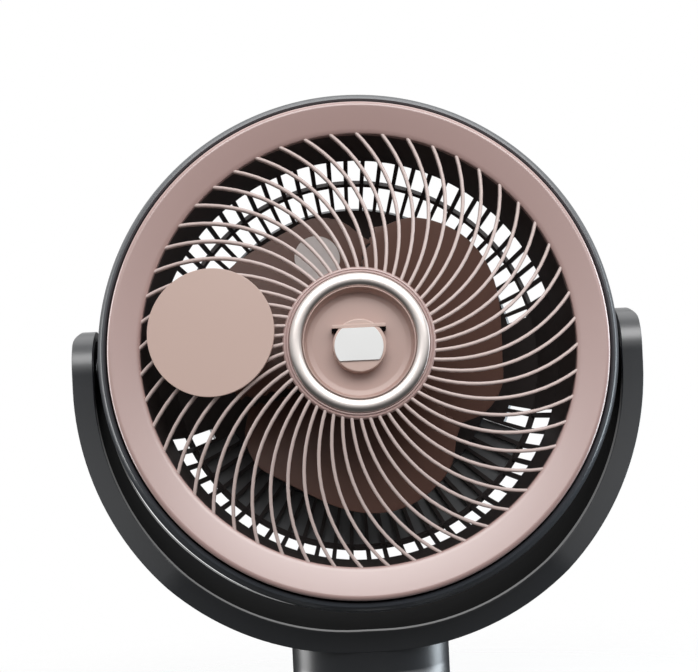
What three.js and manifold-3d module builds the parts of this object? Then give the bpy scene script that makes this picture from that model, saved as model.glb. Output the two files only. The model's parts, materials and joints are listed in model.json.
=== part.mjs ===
// A tabletop air circulator: a round fan head with a spiral grille, held between the arms of a
// U-shaped yoke that swings on a short column over a weighted round base.
// Millimetres, +Z up. The origin is on the floor, under the middle of the base. The fan blows
// towards -Y. The head is built with its spin axis along Y and its middle on the tilt axis, and is
// then tipped back by HEAD_TILT, as it stands at rest.

import * as THREE from "three";
import { mergeGeometries, mergeVertices } from "three/addons/utils/BufferGeometryUtils.js";
import Module from "manifold-3d";

const wasm = await Module();
wasm.setup();

// ---- Driving dimensions -------------------------------------------------------------------

const PIVOT_HEIGHT = 375; // floor to the tilt axis
const HEAD_TILT = 8; // degrees the head leans back at rest
const GAP = 0.3; // air left between pieces that touch

const RING_OUTER = 162; // front ring of the grille
const RING_INNER = 141;
const RING_FRONT = -72; // foremost edge of the ring, along the spin axis
const RING_BACK = -62.3;
const RIB_COUNT = 52;
const RIB_WIDTH = 2.8;
const RIB_DEPTH = 5;
const RIB_SWEEP = 26.4; // degrees that a rib turns on its way out
const RIB_PHASE = -0.2; // degrees from +X to the first rib, at the hub
const LOCK_SCREW_DROP = 151.5; // below the spin axis
const HUB_RADIUS = 49.5; // where the ribs leave the hub
const HUB_FRONT = -86.6; // front of the ribs at the hub
const DISH_RADIUS = 36.2; // recessed dish inside the bright ring
const BADGE = { radius: 41.2, x: -92.8, y: -82.8, z: 13, lean: -8, thick: 2.4 };

const RIM_RADIUS = 170.8; // widest circle of the rear housing
const MOTOR_PLATE = 52; // front face of the plate that carries the motor
const SHAFT_RADIUS = 4;
const BEARING = { bore: 4.3, radius: 8, width: 6 };
const HOUSING_SEGMENTS = 30; // one for each vent window of a full row
const WINDOW_PITCH = 360 / HOUSING_SEGMENTS; // degrees from one vent window to the next
const WINDOW_WIDTH = 8.8; // degrees
const CLOSED_SIDE = 20; // degrees each side of the tilt axis without windows

const BLADE_COUNT = 3;
const BLADE_START = -37.7; // degrees from +X to the leading edge of the first blade
const ROTOR_HUB = 44;
const BLADE_BACK = -4; // leading edge, along the spin axis
const BLADE_RISE = 38; // from the leading edge forward to the trailing edge
const BLADE_THICK = 2.4;
const BLADE_SPAN = 360 / BLADE_COUNT - 4; // degrees

const YOKE_HALF_WIDTH = 192;
const YOKE_THICK = 14;
const YOKE_ARC = 183; // radius of the band's outer corners
const YOKE_DROP = 194; // tilt axis to the underside of the band
const YOKE_ARM_END = 26.6; // radius of the rounded arm ends
const YOKE_DEPTH = 84; // front to back at the bottom
const NECK_RADIUS = 54;
const NECK_BOTTOM = 150; // height of the joint between neck and column

const BASE_RADIUS = 130;
const BASE_TOP = 34;
const FOOT_HEIGHT = 5;
const FOOT_CIRCLE = 105;
const POST_CIRCLE = 110;
const DISPLAY_Y = -79;
const BUTTON_CIRCLE = 98;
const BUTTON_ANGLES = { tilt: 246, timer: 258, power: 270, speed: 282, swing: 294 };
const BUTTON_RADIUS = 6.5;

const GEAR_MODULE = 1.5;
const GEAR_TEETH = 24;
const PINION_TEETH = 10;

// ---- Finishes: colour, roughness, metalness -----------------------------------------------

const FINISHES = {
  rose: [0xbfa398, 0.42, 0.25],
  rose_flat: [0xc4a497, 0.5, 0.2],
  chrome: [0xe6e2e0, 0.08, 1],
  pearl: [0xf2efec, 0.3, 0],
  graphite: [0x4b4d53, 0.45, 0.1],
  slate: [0x3c3f46, 0.4, 0.1],
  black: [0x141416, 0.6, 0],
  brown: [0x46322c, 0.35, 0],
  gloss_black: [0x0c0c0e, 0.1, 0],
  steel: [0xb9bcc0, 0.3, 1],
  copper: [0xb06a3c, 0.4, 0.9],
  magnet: [0x2f2f33, 0.7, 0.2],
  board: [0x1f5c3a, 0.5, 0],
  nylon: [0xe9e6dc, 0.5, 0],
  rubber: [0x202022, 0.9, 0],
};

// ---- Solids --------------------------------------------------------------------------------

const radians = THREE.MathUtils.degToRad;
const ALONG_X = new THREE.Matrix4().makeBasis(
  new THREE.Vector3(0, 1, 0),
  new THREE.Vector3(0, 0, 1),
  new THREE.Vector3(1, 0, 0),
);

// A geometry as a closed solid, with the vertices that faces share merged.
function solid(geometry) {
  const bare = new THREE.BufferGeometry();
  bare.setAttribute("position", geometry.getAttribute("position"));
  bare.setIndex(geometry.index);
  const merged = mergeVertices(bare, 1e-4);
  const vertProperties = merged.getAttribute("position").array;
  const triVerts = new Uint32Array(merged.index.array);
  return new wasm.Manifold(new wasm.Mesh({ numProp: 3, vertProperties, triVerts }));
}

function geometryOf(manifold) {
  const mesh = manifold.getMesh();
  const geometry = new THREE.BufferGeometry();
  geometry.setAttribute("position", new THREE.BufferAttribute(mesh.vertProperties, 3));
  geometry.setIndex(new THREE.BufferAttribute(mesh.triVerts, 1));
  return geometry;
}

// Solids that don't touch, as one tool.
function together(geometries) {
  return mergeGeometries(geometries.map((geometry) => {
    const bare = new THREE.BufferGeometry();
    bare.setAttribute("position", geometry.getAttribute("position"));
    bare.setIndex(geometry.index);
    return bare.index ? bare.toNonIndexed() : bare;
  }));
}

function join(first, ...others) {
  return geometryOf(others.reduce((whole, other) => whole.add(solid(other)), solid(first)));
}

function cut(body, ...tools) {
  return geometryOf(tools.reduce((rest, tool) => rest.subtract(solid(tool)), solid(body)));
}

function common(first, second) {
  return geometryOf(solid(first).intersect(solid(second)));
}

// A closed profile of [radius, height] points, turned about the Y axis.
function turned(profile, segments) {
  const points = profile.map(([radius, height]) => new THREE.Vector2(radius, height));
  if (THREE.ShapeUtils.area(points) < 0) points.reverse();
  const start = points.findIndex((point, i) => point.x === 0 && points.at(i - 1).x === 0);
  if (start > 0) points.push(...points.splice(0, start));
  if (start < 0) points.push(points[0].clone());
  return new THREE.LatheGeometry(points, segments);
}

// A washer, tube or, with no bore, a disc about the Y axis.
function ring(bore, radius, low, high, segments = 20) {
  return turned([[bore, low], [radius, low], [radius, high], [bore, high]], segments);
}

function upright(geometry) {
  return geometry.rotateX(Math.PI / 2);
}

function sideways(geometry) {
  return geometry.rotateZ(-Math.PI / 2);
}

function box(width, depth, height, x = 0, y = 0, z = 0) {
  return new THREE.BoxGeometry(width, depth, height).translate(x, y, z);
}

function prism(shape, depth, curveSegments = 12) {
  return new THREE.ExtrudeGeometry(shape, { depth, bevelEnabled: false, curveSegments });
}

function roundedRectangle(width, height, radius) {
  const [x, y] = [width / 2, height / 2];
  const shape = new THREE.Shape();
  shape.moveTo(-x + radius, -y);
  shape.lineTo(x - radius, -y);
  shape.absarc(x - radius, -y + radius, radius, -Math.PI / 2, 0);
  shape.absarc(x - radius, y - radius, radius, 0, Math.PI / 2);
  shape.absarc(-x + radius, y - radius, radius, Math.PI / 2, Math.PI);
  shape.absarc(-x + radius, -y + radius, radius, Math.PI, 1.5 * Math.PI);
  return shape;
}

// Six times the volume inside a closed geometry, below nought where its faces point inwards.
function signedVolume(vertices, index) {
  const [a, b, c] = [new THREE.Vector3(), new THREE.Vector3(), new THREE.Vector3()];
  let sum = 0;
  for (let i = 0; i < index.length; i += 3) {
    a.fromArray(vertices[index[i]]);
    b.fromArray(vertices[index[i + 1]]);
    c.fromArray(vertices[index[i + 2]]);
    sum += a.dot(b.cross(c));
  }
  return sum;
}

// A closed body between two grids of points, such as the two faces of a fan blade. Each grid is
// rows of columns.
function sandwich(front, back) {
  const rows = front.length;
  const columns = front[0].length;
  const vertices = [...front.flat(), ...back.flat()];
  const at = (layer, row, column) => (layer * rows + row) * columns + column;
  const index = [];
  const quad = (a, b, c, d) => index.push(a, b, c, a, c, d);
  for (let i = 0; i + 1 < rows; i++) {
    for (let j = 0; j + 1 < columns; j++) {
      quad(at(0, i, j), at(0, i, j + 1), at(0, i + 1, j + 1), at(0, i + 1, j));
      quad(at(1, i, j), at(1, i + 1, j), at(1, i + 1, j + 1), at(1, i, j + 1));
    }
    const last = columns - 1;
    quad(at(0, i, 0), at(0, i + 1, 0), at(1, i + 1, 0), at(1, i, 0));
    quad(at(0, i, last), at(1, i, last), at(1, i + 1, last), at(0, i + 1, last));
  }
  for (let j = 0; j + 1 < columns; j++) {
    const last = rows - 1;
    quad(at(0, 0, j), at(1, 0, j), at(1, 0, j + 1), at(0, 0, j + 1));
    quad(at(0, last, j), at(0, last, j + 1), at(1, last, j + 1), at(1, last, j));
  }
  if (signedVolume(vertices, index) < 0) index.reverse();
  const geometry = new THREE.BufferGeometry();
  geometry.setAttribute("position", new THREE.Float32BufferAttribute(vertices.flat(), 3));
  geometry.setIndex(index);
  return geometry;
}

// A point at a radius and an angle about the spin axis, seen from the front.
function around(radius, degrees, y) {
  return [radius * Math.cos(radians(degrees)), y, radius * Math.sin(radians(degrees))];
}

// A wedge about the spin axis whose section is a quadrilateral of [radius, y] corners, given so
// that the first two lie on the inner side.
function sectorWedge(section, degrees, width) {
  const side = (turn) => section.map(([radius, y]) => around(radius, degrees + turn, y));
  const [a, b] = [side(-width / 2), side(width / 2)];
  return sandwich([[a[0], b[0]], [a[3], b[3]]], [[a[1], b[1]], [a[2], b[2]]]);
}

// ---- Front grille and its hub ---------------------------------------------------------------

function ribAngle(radius) {
  const out = (radius - HUB_RADIUS) / (RING_INNER - HUB_RADIUS);
  return RIB_SWEEP * (0.78 * out + 0.22 * out * out);
}

function ribFront(radius) {
  const out = Math.max(0, (radius - HUB_RADIUS) / (RING_INNER - HUB_RADIUS));
  return HUB_FRONT + 12.4 * out + 7 * out * out;
}

// A rib leaves the hub almost along the radius and curves round as it nears the ring.
function rib(number) {
  const start = HUB_RADIUS - 3.5;
  const end = RING_INNER + 2;
  const steps = 3;
  const front = [[], []];
  const back = [[], []];
  for (let i = 0; i <= steps; i++) {
    const radius = start + ((end - start) * i) / steps;
    const degrees = RIB_PHASE + (number * 360) / RIB_COUNT + ribAngle(radius);
    const slope = radius * radians(ribAngle(radius + 0.5) - ribAngle(radius - 0.5));
    const half = (RIB_WIDTH / 2) * Math.hypot(1, slope);
    const turn = THREE.MathUtils.radToDeg(half / radius);
    const y = ribFront(radius);
    [-turn, turn].forEach((side, row) => {
      front[row].push(around(radius, degrees + side, y));
      back[row].push(around(radius, degrees + side, Math.min(y + RIB_DEPTH, RING_BACK)));
    });
  }
  return sandwich(front, back);
}

// The hole at the foot of the ring for the screw that locks the grille to the housing.
function lockScrewHole(from, to) {
  return ring(0, 1.9, from, to, 8).translate(0, 0, -LOCK_SCREW_DROP);
}

function frontGrille() {
  const bezel = turned(
    [
      [RING_INNER, RING_BACK],
      [RING_INNER, -67.2],
      [143, -68.6],
      [158.5, RING_FRONT],
      [RING_OUTER, -69.4],
      [RING_OUTER, RING_BACK],
    ],
    HOUSING_SEGMENTS,
  );
  const flange = ring(38, HUB_RADIUS, HUB_FRONT - GAP, HUB_FRONT + RIB_DEPTH + 0.1, RIB_COUNT / 2);
  const ribs = Array.from({ length: RIB_COUNT }, (_, number) => rib(number));
  return cut(join(bezel, together(ribs), flange), lockScrewHole(-66.5, RING_BACK + 1));
}

function hubChromeRing() {
  const profile = [[44.5, -87.2], [36.6, -87.2]];
  for (let i = 0; i <= 4; i++) {
    const turn = (Math.PI * i) / 4;
    profile.push([40.55 - 3.95 * Math.cos(turn), -87.6 - 4 * Math.sin(turn)]);
  }
  return turned(profile, 24);
}

function hubDish() {
  return turned(
    [
      [0, -84],
      [31.5, -84],
      [34.6, -88.6],
      [DISH_RADIUS, -88.6],
      [DISH_RADIUS, -81.2],
      [43, -81.2],
      [43, -79.2],
      [33, -79.2],
      [31, -82],
      [0, -82],
    ],
    24,
  );
}

function hubBoss() {
  const drum = ring(0, 15.7, -89.4, -84.3, 24);
  const ledge = box(38, 3.5, 3.2, 0, -86.05, 12.9);
  return join(drum, ledge);
}

// A round plate with its top and bottom cut off straight.
function hubPlate() {
  const disc = ring(0, 15.2, -90.9, -89.7, 24);
  return common(disc, box(40, 10, 21.4, 0, -90, 0.6));
}

// A bare round plate clipped over the ribs by three pegs that pass between them.
function grilleBadge() {
  const lean = radians(BADGE.lean);
  const { radius: edge, thick } = BADGE;
  const plate = turned(
    [[0, -thick / 2], [edge - 0.6, -thick / 2], [edge, 0.6 - thick / 2], [edge, thick / 2], [0, thick / 2]],
    30,
  );
  plate.rotateZ(lean).translate(BADGE.x, BADGE.y, BADGE.z);
  const pegs = [[80, 172], [108, 160], [108, 184]].map(([radius, wanted]) => {
    const pitch = 360 / RIB_COUNT;
    const first = RIB_PHASE + ribAngle(radius) + pitch / 2;
    const degrees = first + Math.round((wanted - first) / pitch) * pitch;
    const [x, , z] = around(radius, degrees, 0);
    const rear = ribFront(radius) + RIB_DEPTH + 1;
    const front = BADGE.y + (x - BADGE.x) * Math.tan(lean);
    return box(2.6, rear - front, 2.6, x, (rear + front) / 2, z);
  });
  return join(plate, together(pegs));
}

// ---- Duct and rear housing --------------------------------------------------------------------

function airDuct() {
  const duct = turned(
    [
      [RING_INNER, -62],
      [160, -62],
      [160, -59.6],
      [143.6, -59.6],
      [139.6, -12.3],
      [137, -12.3],
    ],
    HOUSING_SEGMENTS,
  );
  return cut(duct, lockScrewHole(-63, -58));
}

const HOUSING_OUTSIDE = [
  [162.6, -66.6],
  [167.6, -65],
  [RIM_RADIUS, -52],
  [169, -36],
  [160, -22],
  [140.5, -8.5],
  [131.5, 24.2],
  [129.3, 28.6],
  [108, 46.5],
  [84, MOTOR_PLATE + 3],
];
const HOUSING_INSIDE = [
  [83, MOTOR_PLATE],
  [106.5, 43.4],
  [126.6, 26],
  [128.6, 23.5],
  [136.8, -12],
  [140.2, -12],
  [157.6, -24],
  [166, -37],
  [167.7, -52],
  [165.4, -62.6],
  [162.6, -63.4],
];
const POD = { middle: 4, depth: 60, height: 76, corner: 14, wall: 3, outer: 166, inner: 118 };

// The middle of the bowl's wall, where the side pods end inside it.
const HOUSING_MIDDLE = [
  [107, 45.2],
  [127.8, 27.4],
  [138.6, -10.2],
  [158.6, -23],
];

// Two rows of vent windows, parted by a thin ring: one in the steep wall, one in the shallow.
function windowTools() {
  const steep = [[131.6, -9.9], [124.3, 21], [134.5, 23.4], [143.8, -7.1]];
  const shallow = [[122.7, 25.3], [107.9, 38.1], [113.8, 45], [128.6, 32.2]];
  const tools = [];
  for (let degrees = WINDOW_PITCH / 2; degrees < 360; degrees += WINDOW_PITCH) {
    const fromAxis = Math.min(degrees % 180, 180 - (degrees % 180));
    if (fromAxis < CLOSED_SIDE) continue;
    tools.push(sectorWedge(steep, degrees, WINDOW_WIDTH));
    tools.push(sectorWedge(shallow, degrees, WINDOW_WIDTH));
  }
  return together(tools);
}

function podPrism(inset, from, to) {
  const shape = roundedRectangle(POD.depth - 2 * inset, POD.height - 2 * inset, POD.corner - inset);
  return prism(shape, to - from, 2).applyMatrix4(ALONG_X).translate(from, POD.middle, 0);
}

// A square tube on the side of the bowl, which holds the tilt motor or the pivot bush.
function pod() {
  return cut(podPrism(0, POD.inner, POD.outer), podPrism(POD.wall, POD.inner - 1, POD.outer + 1));
}

function rearHousing() {
  const shell = turned(
    [...HOUSING_OUTSIDE, [12, MOTOR_PLATE + 3], [12, MOTOR_PLATE], ...HOUSING_INSIDE],
    HOUSING_SEGMENTS,
  );
  const mouth = HOUSING_MIDDLE.at(-1)[0];
  const hollow = turned([[0, 45.2], ...HOUSING_MIDDLE, [mouth, -90], [0, -90]], HOUSING_SEGMENTS);
  const rightPod = cut(pod(), hollow);
  const leftPod = cut(pod().rotateY(Math.PI), hollow);
  return cut(join(shell, rightPod, leftPod), windowTools());
}

function sideCover(side, bore) {
  const plate = podPrism(0, POD.outer + GAP, 169);
  const boss = sideways(ring(0, 17, 168, 176.6));
  const hole = sideways(ring(0, bore, 150, 180));
  return cut(join(plate, boss), hole).rotateY(side > 0 ? 0 : Math.PI);
}

function pivotBush() {
  const sleeve = turned([[8.4, 165], [14, 165], [14, 166], [12, 166], [12, 176.4], [8.4, 176.4]], 20);
  return sideways(sleeve).rotateZ(Math.PI);
}

// A small geared motor whose shaft stands off the middle of its drum.
function tiltMotor() {
  const drum = sideways(ring(0, 14, 144.5, 163)).translate(0, POD.middle, 0);
  const ears = box(1.2, 10, 42, 162.4, POD.middle, 0);
  const socket = sideways(ring(0, 6.4, 156, 164));
  return cut(join(drum, ears), socket);
}

// ---- Motor and rotor --------------------------------------------------------------------------

function motorBase() {
  const bore = BEARING.radius + GAP;
  const seat = MOTOR_PLATE - GAP;
  return turned([[bore, 10], [11, 10], [11, 46], [13, 48.4], [30, 48.4], [30, seat], [bore, seat]], 24);
}

function bearing(front) {
  return ring(BEARING.bore, BEARING.radius, front, front + BEARING.width, 24);
}

// Radius and angle of the corners of one stator pole, from its root round its shoe.
const POLE_CORNERS = [
  [18, -6],
  [29, -5],
  [29, -16],
  [33, -16],
  [33, 0],
  [33, 16],
  [29, 16],
  [29, 5],
  [18, 6],
];

function statorCore() {
  const shape = new THREE.Shape();
  const poles = 9;
  for (let i = 0; i < poles; i++) {
    const middle = (i * 360) / poles;
    POLE_CORNERS.forEach(([radius, turn]) => {
      const angle = radians(middle + turn);
      const [x, y] = [radius * Math.cos(angle), radius * Math.sin(angle)];
      if (shape.curves.length || shape.currentPoint.length()) shape.lineTo(x, y);
      else shape.moveTo(x, y);
    });
  }
  const bore = new THREE.Path();
  bore.absarc(0, 0, 11.5, 0, 2 * Math.PI);
  shape.holes.push(bore);
  return prism(shape, 24, 10).rotateX(Math.PI / 2).translate(0, 40, 0);
}

function rotorCan() {
  return turned([[4.3, 5], [38.5, 5], [38.5, 42], [36.8, 42], [36.8, 7.4], [4.3, 7.4]], 24);
}

// Tip radius of a blade, by the share of its span from leading to trailing edge.
function bladeTip(share) {
  const radii = [82, 95, 100.5, 98.5, 99.5, 103.5, 107, 107.5, 104, 97, 84];
  const place = THREE.MathUtils.clamp(share, 0, 1) * (radii.length - 1);
  const low = Math.min(Math.floor(place), radii.length - 2);
  return THREE.MathUtils.lerp(radii[low], radii[low + 1], place - low);
}

function bladeFace(share) {
  return BLADE_BACK - BLADE_RISE * share;
}

function blade(number) {
  const [rows, columns] = [2, 8];
  const front = [];
  const back = [];
  for (let i = 0; i <= rows; i++) {
    front.push([]);
    back.push([]);
    for (let j = 0; j <= columns; j++) {
      const share = j / columns;
      const root = ROTOR_HUB - 1.2;
      const radius = root + ((bladeTip(share) - root) * i) / rows;
      const degrees = BLADE_START + (number * 360) / BLADE_COUNT + BLADE_SPAN * share;
      front[i].push(around(radius, degrees, bladeFace(share) - BLADE_THICK / 2));
      back[i].push(around(radius, degrees, bladeFace(share) + BLADE_THICK / 2));
    }
  }
  return sandwich(front, back);
}

function fanRotor() {
  const cup = turned(
    [
      [4.3, -46],
      [40, -46],
      [ROTOR_HUB, -42],
      [ROTOR_HUB, 38],
      [41.5, 38],
      [41.5, -41],
      [39, -43.2],
      [9, -43.2],
      [8, -8],
      [4.3, -8],
    ],
    24,
  );
  const blades = Array.from({ length: BLADE_COUNT }, (_, number) => blade(number));
  return blades.reduce((whole, one) => join(whole, one), cup);
}

function rotorNut() {
  return turned([[0, -60], [8, -59], [12, -54], [13, -46.4], [4.3, -46.4], [4.3, -57], [0, -57]], 24);
}

// A round label laid on the second blade, following its twist.
function bladeSticker() {
  const middle = { radius: 73, degrees: 109.5 };
  const radius = 15.5;
  const bladeFirst = BLADE_START + 360 / BLADE_COUNT;
  const [cx, , cz] = around(middle.radius, middle.degrees, 0);
  const faceAt = (x, z) => {
    const degrees = THREE.MathUtils.radToDeg(Math.atan2(z, x));
    return bladeFace((degrees - bladeFirst) / BLADE_SPAN) - BLADE_THICK / 2;
  };
  const half = 3;
  const layer = (lift) => Array.from({ length: 2 * half + 1 }, (_, i) =>
    Array.from({ length: 2 * half + 1 }, (_, j) => {
      const [u, v] = [(i - half) / half, (j - half) / half];
      const x = cx + radius * v * Math.sqrt(1 - (u * u) / 2);
      const z = cz + radius * u * Math.sqrt(1 - (v * v) / 2);
      return [x, faceAt(x, z) - lift, z];
    }),
  );
  return sandwich(layer(1.1), layer(0.5));
}

// ---- Back of the head ---------------------------------------------------------------------------

const COVER_SLOTS = 9;
const COVER_SCREW_ANGLES = [90, 210, 330];
const COVER_SCREW_CIRCLE = 70;

function motorCover() {
  const dome = turned(
    [
      [77, 55.4],
      [77, 58],
      [68, 67.5],
      [42, 76.2],
      [0, 79],
      [0, 76.5],
      [41.5, 73.8],
      [66, 65.5],
      [74.3, 57],
      [74.3, 55.4],
    ],
    24,
  );
  const slots = Array.from({ length: COVER_SLOTS }, (_, i) =>
    sectorWedge([[46, 60], [46, 90], [62, 90], [62, 60]], ((i + 0.5) * 360) / COVER_SLOTS, 8),
  );
  const holes = COVER_SCREW_ANGLES.map((degrees) => {
    const [x, , z] = around(COVER_SCREW_CIRCLE, degrees, 0);
    return ring(0, 2, 50, 80, 8).translate(x, 0, z);
  });
  return cut(dome, together(slots), together(holes));
}

// A screw that points to -Y, with the top of its head at the origin.
function screw(headRadius, shankRadius, headHeight, length) {
  const tip = -headHeight - length;
  return turned(
    [
      [0, 0],
      [headRadius, 0],
      [headRadius, -headHeight],
      [shankRadius, -headHeight],
      [shankRadius, tip],
      [0, tip],
    ],
    10,
  );
}

const BOX_ANGLES = { middle: 270, spread: 130 };

// A thick slice of a turned body, seen from the front as a fan of the given angles.
function slice(geometry, middle, spread) {
  const shape = new THREE.Shape();
  shape.moveTo(0, 0);
  const reach = 260;
  const steps = 6;
  for (let i = 0; i <= steps; i++) {
    const angle = radians(middle - spread / 2 + (spread * i) / steps);
    shape.lineTo(reach * Math.cos(angle), reach * Math.sin(angle));
  }
  return common(geometry, prism(shape, 200).rotateX(Math.PI / 2).translate(0, 100, 0));
}

function driverBox() {
  const { middle, spread } = BOX_ANGLES;
  const outside = turned(
    [[84, 55.4], [98.2, 52.5], [110.3, 45.6], [127.5, 31.4], [129, 36], [125, 56], [113, 64], [84, 64]],
    HOUSING_SEGMENTS,
  );
  const inside = turned(
    [[86.5, 50], [98, 40], [110, 30], [126, 20], [126.5, 36], [122.8, 54.5], [112, 61.5], [86.5, 61.5]],
    HOUSING_SEGMENTS,
  );
  return cut(slice(outside, middle, spread), slice(inside, middle, spread - 3));
}

function driverBoard() {
  return slice(ring(90, 112, 57, 58.6, HOUSING_SEGMENTS), BOX_ANGLES.middle, 110);
}

// ---- Yoke ---------------------------------------------------------------------------------------

// The U seen from the front, between two depths measured inwards from its outer line.
function yokeBand(from, to, top) {
  const centre = YOKE_HALF_WIDTH - YOKE_ARC;
  const level = YOKE_ARC - YOKE_DROP;
  const shape = new THREE.Shape();
  const outer = YOKE_HALF_WIDTH - from;
  const inner = YOKE_HALF_WIDTH - to;
  shape.moveTo(-outer, top);
  shape.lineTo(-outer, level);
  shape.absarc(-centre, level, YOKE_ARC - from, Math.PI, 1.5 * Math.PI);
  shape.absarc(centre, level, YOKE_ARC - from, 1.5 * Math.PI, 2 * Math.PI);
  shape.lineTo(outer, top);
  shape.lineTo(inner, top);
  shape.absarc(centre, level, YOKE_ARC - to, 2 * Math.PI, 1.5 * Math.PI, true);
  shape.absarc(-centre, level, YOKE_ARC - to, 1.5 * Math.PI, Math.PI, true);
  shape.lineTo(-inner, top);
  return prism(shape, 200, 9).rotateX(Math.PI / 2).translate(0, 100, 0);
}

// The yoke seen from the side: round arm ends that widen downwards.
function yokeSide(inset) {
  const end = YOKE_ARM_END - inset;
  const half = YOKE_DEPTH / 2 - inset;
  const shape = new THREE.Shape();
  shape.absarc(0, 0, end, 0, Math.PI);
  shape.quadraticCurveTo(-end, -110, -half, -175);
  shape.lineTo(-half, -210);
  shape.lineTo(half, -210);
  shape.lineTo(half, -175);
  shape.quadraticCurveTo(end, -110, end, 0);
  return prism(shape, 400, 4).applyMatrix4(ALONG_X).translate(-200, 0, 0);
}

function yokeNeck() {
  const foot = NECK_BOTTOM - PIVOT_HEIGHT;
  return turned(
    [
      [0, -181.5],
      [27, -181.5],
      [43, -187],
      [51.5, -197],
      [NECK_RADIUS, -210],
      [NECK_RADIUS, foot],
      [50.5, foot],
      [50.5, -206],
      [26, -199],
      [26, foot - 1.6],
      [0, foot - 1.6],
    ],
    30,
  );
}

function yokeFrame() {
  const band = common(yokeBand(0, YOKE_THICK, 40), yokeSide(0));
  const body = join(band, upright(yokeNeck()));
  const channel = common(yokeBand(3.5, YOKE_THICK + 4, 60), yokeSide(6));
  const bosses = together([0, Math.PI].map((turn) =>
    sideways(ring(0, 14, 181.4, 189, 20)).rotateZ(turn)));
  const boreLeft = sideways(ring(0, 8.3, 170, 191, 20)).rotateZ(Math.PI);
  const boreRight = sideways(ring(0, 6.2, 170, 191, 6));
  const capSeats = together([0, Math.PI].map((turn) =>
    sideways(ring(0, 16.3, 190.2, 195, 24)).rotateZ(turn)));
  const cableWay = upright(ring(0, 7, -240, -184, 16));
  return cut(join(cut(body, channel), bosses), boreLeft, boreRight, capSeats, cableWay);
}

function yokeLiner() {
  const strip = common(yokeBand(11, YOKE_THICK, 60), yokeSide(6.4));
  const holes = together([0, Math.PI].map((turn) => sideways(ring(0, 9.5, 170, 195)).rotateZ(turn)));
  return cut(strip, holes);
}

function pivotPin() {
  const pin = turned([[0, 158], [7.4, 158], [8, 158.6], [8, 189.9], [0, 189.9]], 20);
  return sideways(pin).rotateZ(Math.PI);
}

function tiltShaft() {
  const round = sideways(ring(0, 6, 157, 181));
  const key = sideways(ring(0, 5.7, 180, 189.9, 6));
  return join(round, key);
}

function pivotCap(side) {
  const cap = turned([[0, 190.5], [16, 190.5], [16, 191.6], [15.6, 192], [0, 192]], 24);
  return sideways(cap).rotateZ(side > 0 ? 0 : Math.PI);
}

// ---- Swing drive, all heights from the floor ------------------------------------------------------

const PLATE_TOP = 141.4;
const GEAR_LOW = 127;
const GEAR_HEIGHT = 8;
const GEAR_CENTRES = (GEAR_MODULE * (GEAR_TEETH + PINION_TEETH)) / 2;

// Straight-sided teeth, cut thin enough to turn with play. first is the angle of one tooth.
function gearShape(teeth, first) {
  const pitchRadius = (GEAR_MODULE * teeth) / 2;
  const corners = [[-1.3, 1.02], [0.9, 0.36]];
  const shape = new THREE.Shape();
  for (let i = 0; i < teeth; i++) {
    const middle = radians(first + (i * 360) / teeth);
    for (const [rise, half, sign] of [
      [...corners[0], -1], [...corners[1], -1], [...corners[1], 1], [...corners[0], 1],
    ]) {
      const radius = pitchRadius + rise * GEAR_MODULE;
      const angle = middle + (sign * half * GEAR_MODULE) / pitchRadius;
      const [x, y] = [radius * Math.cos(angle), radius * Math.sin(angle)];
      if (i === 0 && sign < 0 && rise < 0) shape.moveTo(x, y);
      else shape.lineTo(x, y);
    }
  }
  return shape;
}

function swingGear() {
  const shape = gearShape(GEAR_TEETH, 90);
  const bore = new THREE.Path();
  bore.absarc(0, 0, 12.3, 0, 2 * Math.PI);
  shape.holes.push(bore);
  return prism(shape, GEAR_HEIGHT, 10).translate(0, 0, GEAR_LOW);
}

function swingPinion() {
  const teeth = prism(gearShape(PINION_TEETH, 270 + 180 / PINION_TEETH), GEAR_HEIGHT - 1);
  const shaft = upright(ring(0, 3, -8, 0.5, 16));
  return join(teeth, shaft).translate(0, GEAR_CENTRES, GEAR_LOW + 0.5);
}

function swingMotor() {
  const drum = upright(ring(0, 17.5, 103, 121.5));
  const ears = box(50, 9, 1.5, 0, 0, 120.7);
  const socket = upright(ring(0, 3.4, 118, 125, 16));
  return cut(join(drum, ears), socket).translate(0, GEAR_CENTRES, 0);
}

function bearingPlate() {
  const disc = upright(ring(12.6, 50.6, PLATE_TOP - 4, PLATE_TOP, 30));
  const posts = together([-21.5, 21.5].map((x) =>
    upright(ring(0, 3.2, 121.8, PLATE_TOP - 3, 10)).translate(x, GEAR_CENTRES, 0)));
  return join(disc, posts);
}

function swingSpindle() {
  return upright(turned([[7, 124], [12, 124], [12, 143.8], [24, 143.8], [24, 148], [7, 148]], 20));
}

// ---- Column and base --------------------------------------------------------------------------------

const IR_HEIGHT = 72;

function columnHousing() {
  const shell = turned(
    [
      [NECK_RADIUS, NECK_BOTTOM - 0.6],
      [54.6, 105],
      [56.4, 70],
      [60.5, 46],
      [67, BASE_TOP + 0.4],
      [62, BASE_TOP + 0.4],
      [57, 47],
      [53.2, 72],
      [51, 133.5],
      [46, 133.5],
      [46, 137],
      [51, 137],
      [51, NECK_BOTTOM - 0.6],
    ],
    30,
  );
  const lensHole = ring(0, 4.8, -80, -30, 12).translate(0, 0, IR_HEIGHT);
  return cut(upright(shell), lensHole);
}

function irWindow() {
  return ring(0, 4.5, -56.6, -53, 12).translate(0, 0, IR_HEIGHT);
}

const POST_ANGLES = [45, 135, 225, 315];
const INLET = { height: 18, mouth: 6, face: 123.4 };

function onBase(radius, degrees) {
  return [radius * Math.cos(radians(degrees)), radius * Math.sin(radians(degrees))];
}

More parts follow.
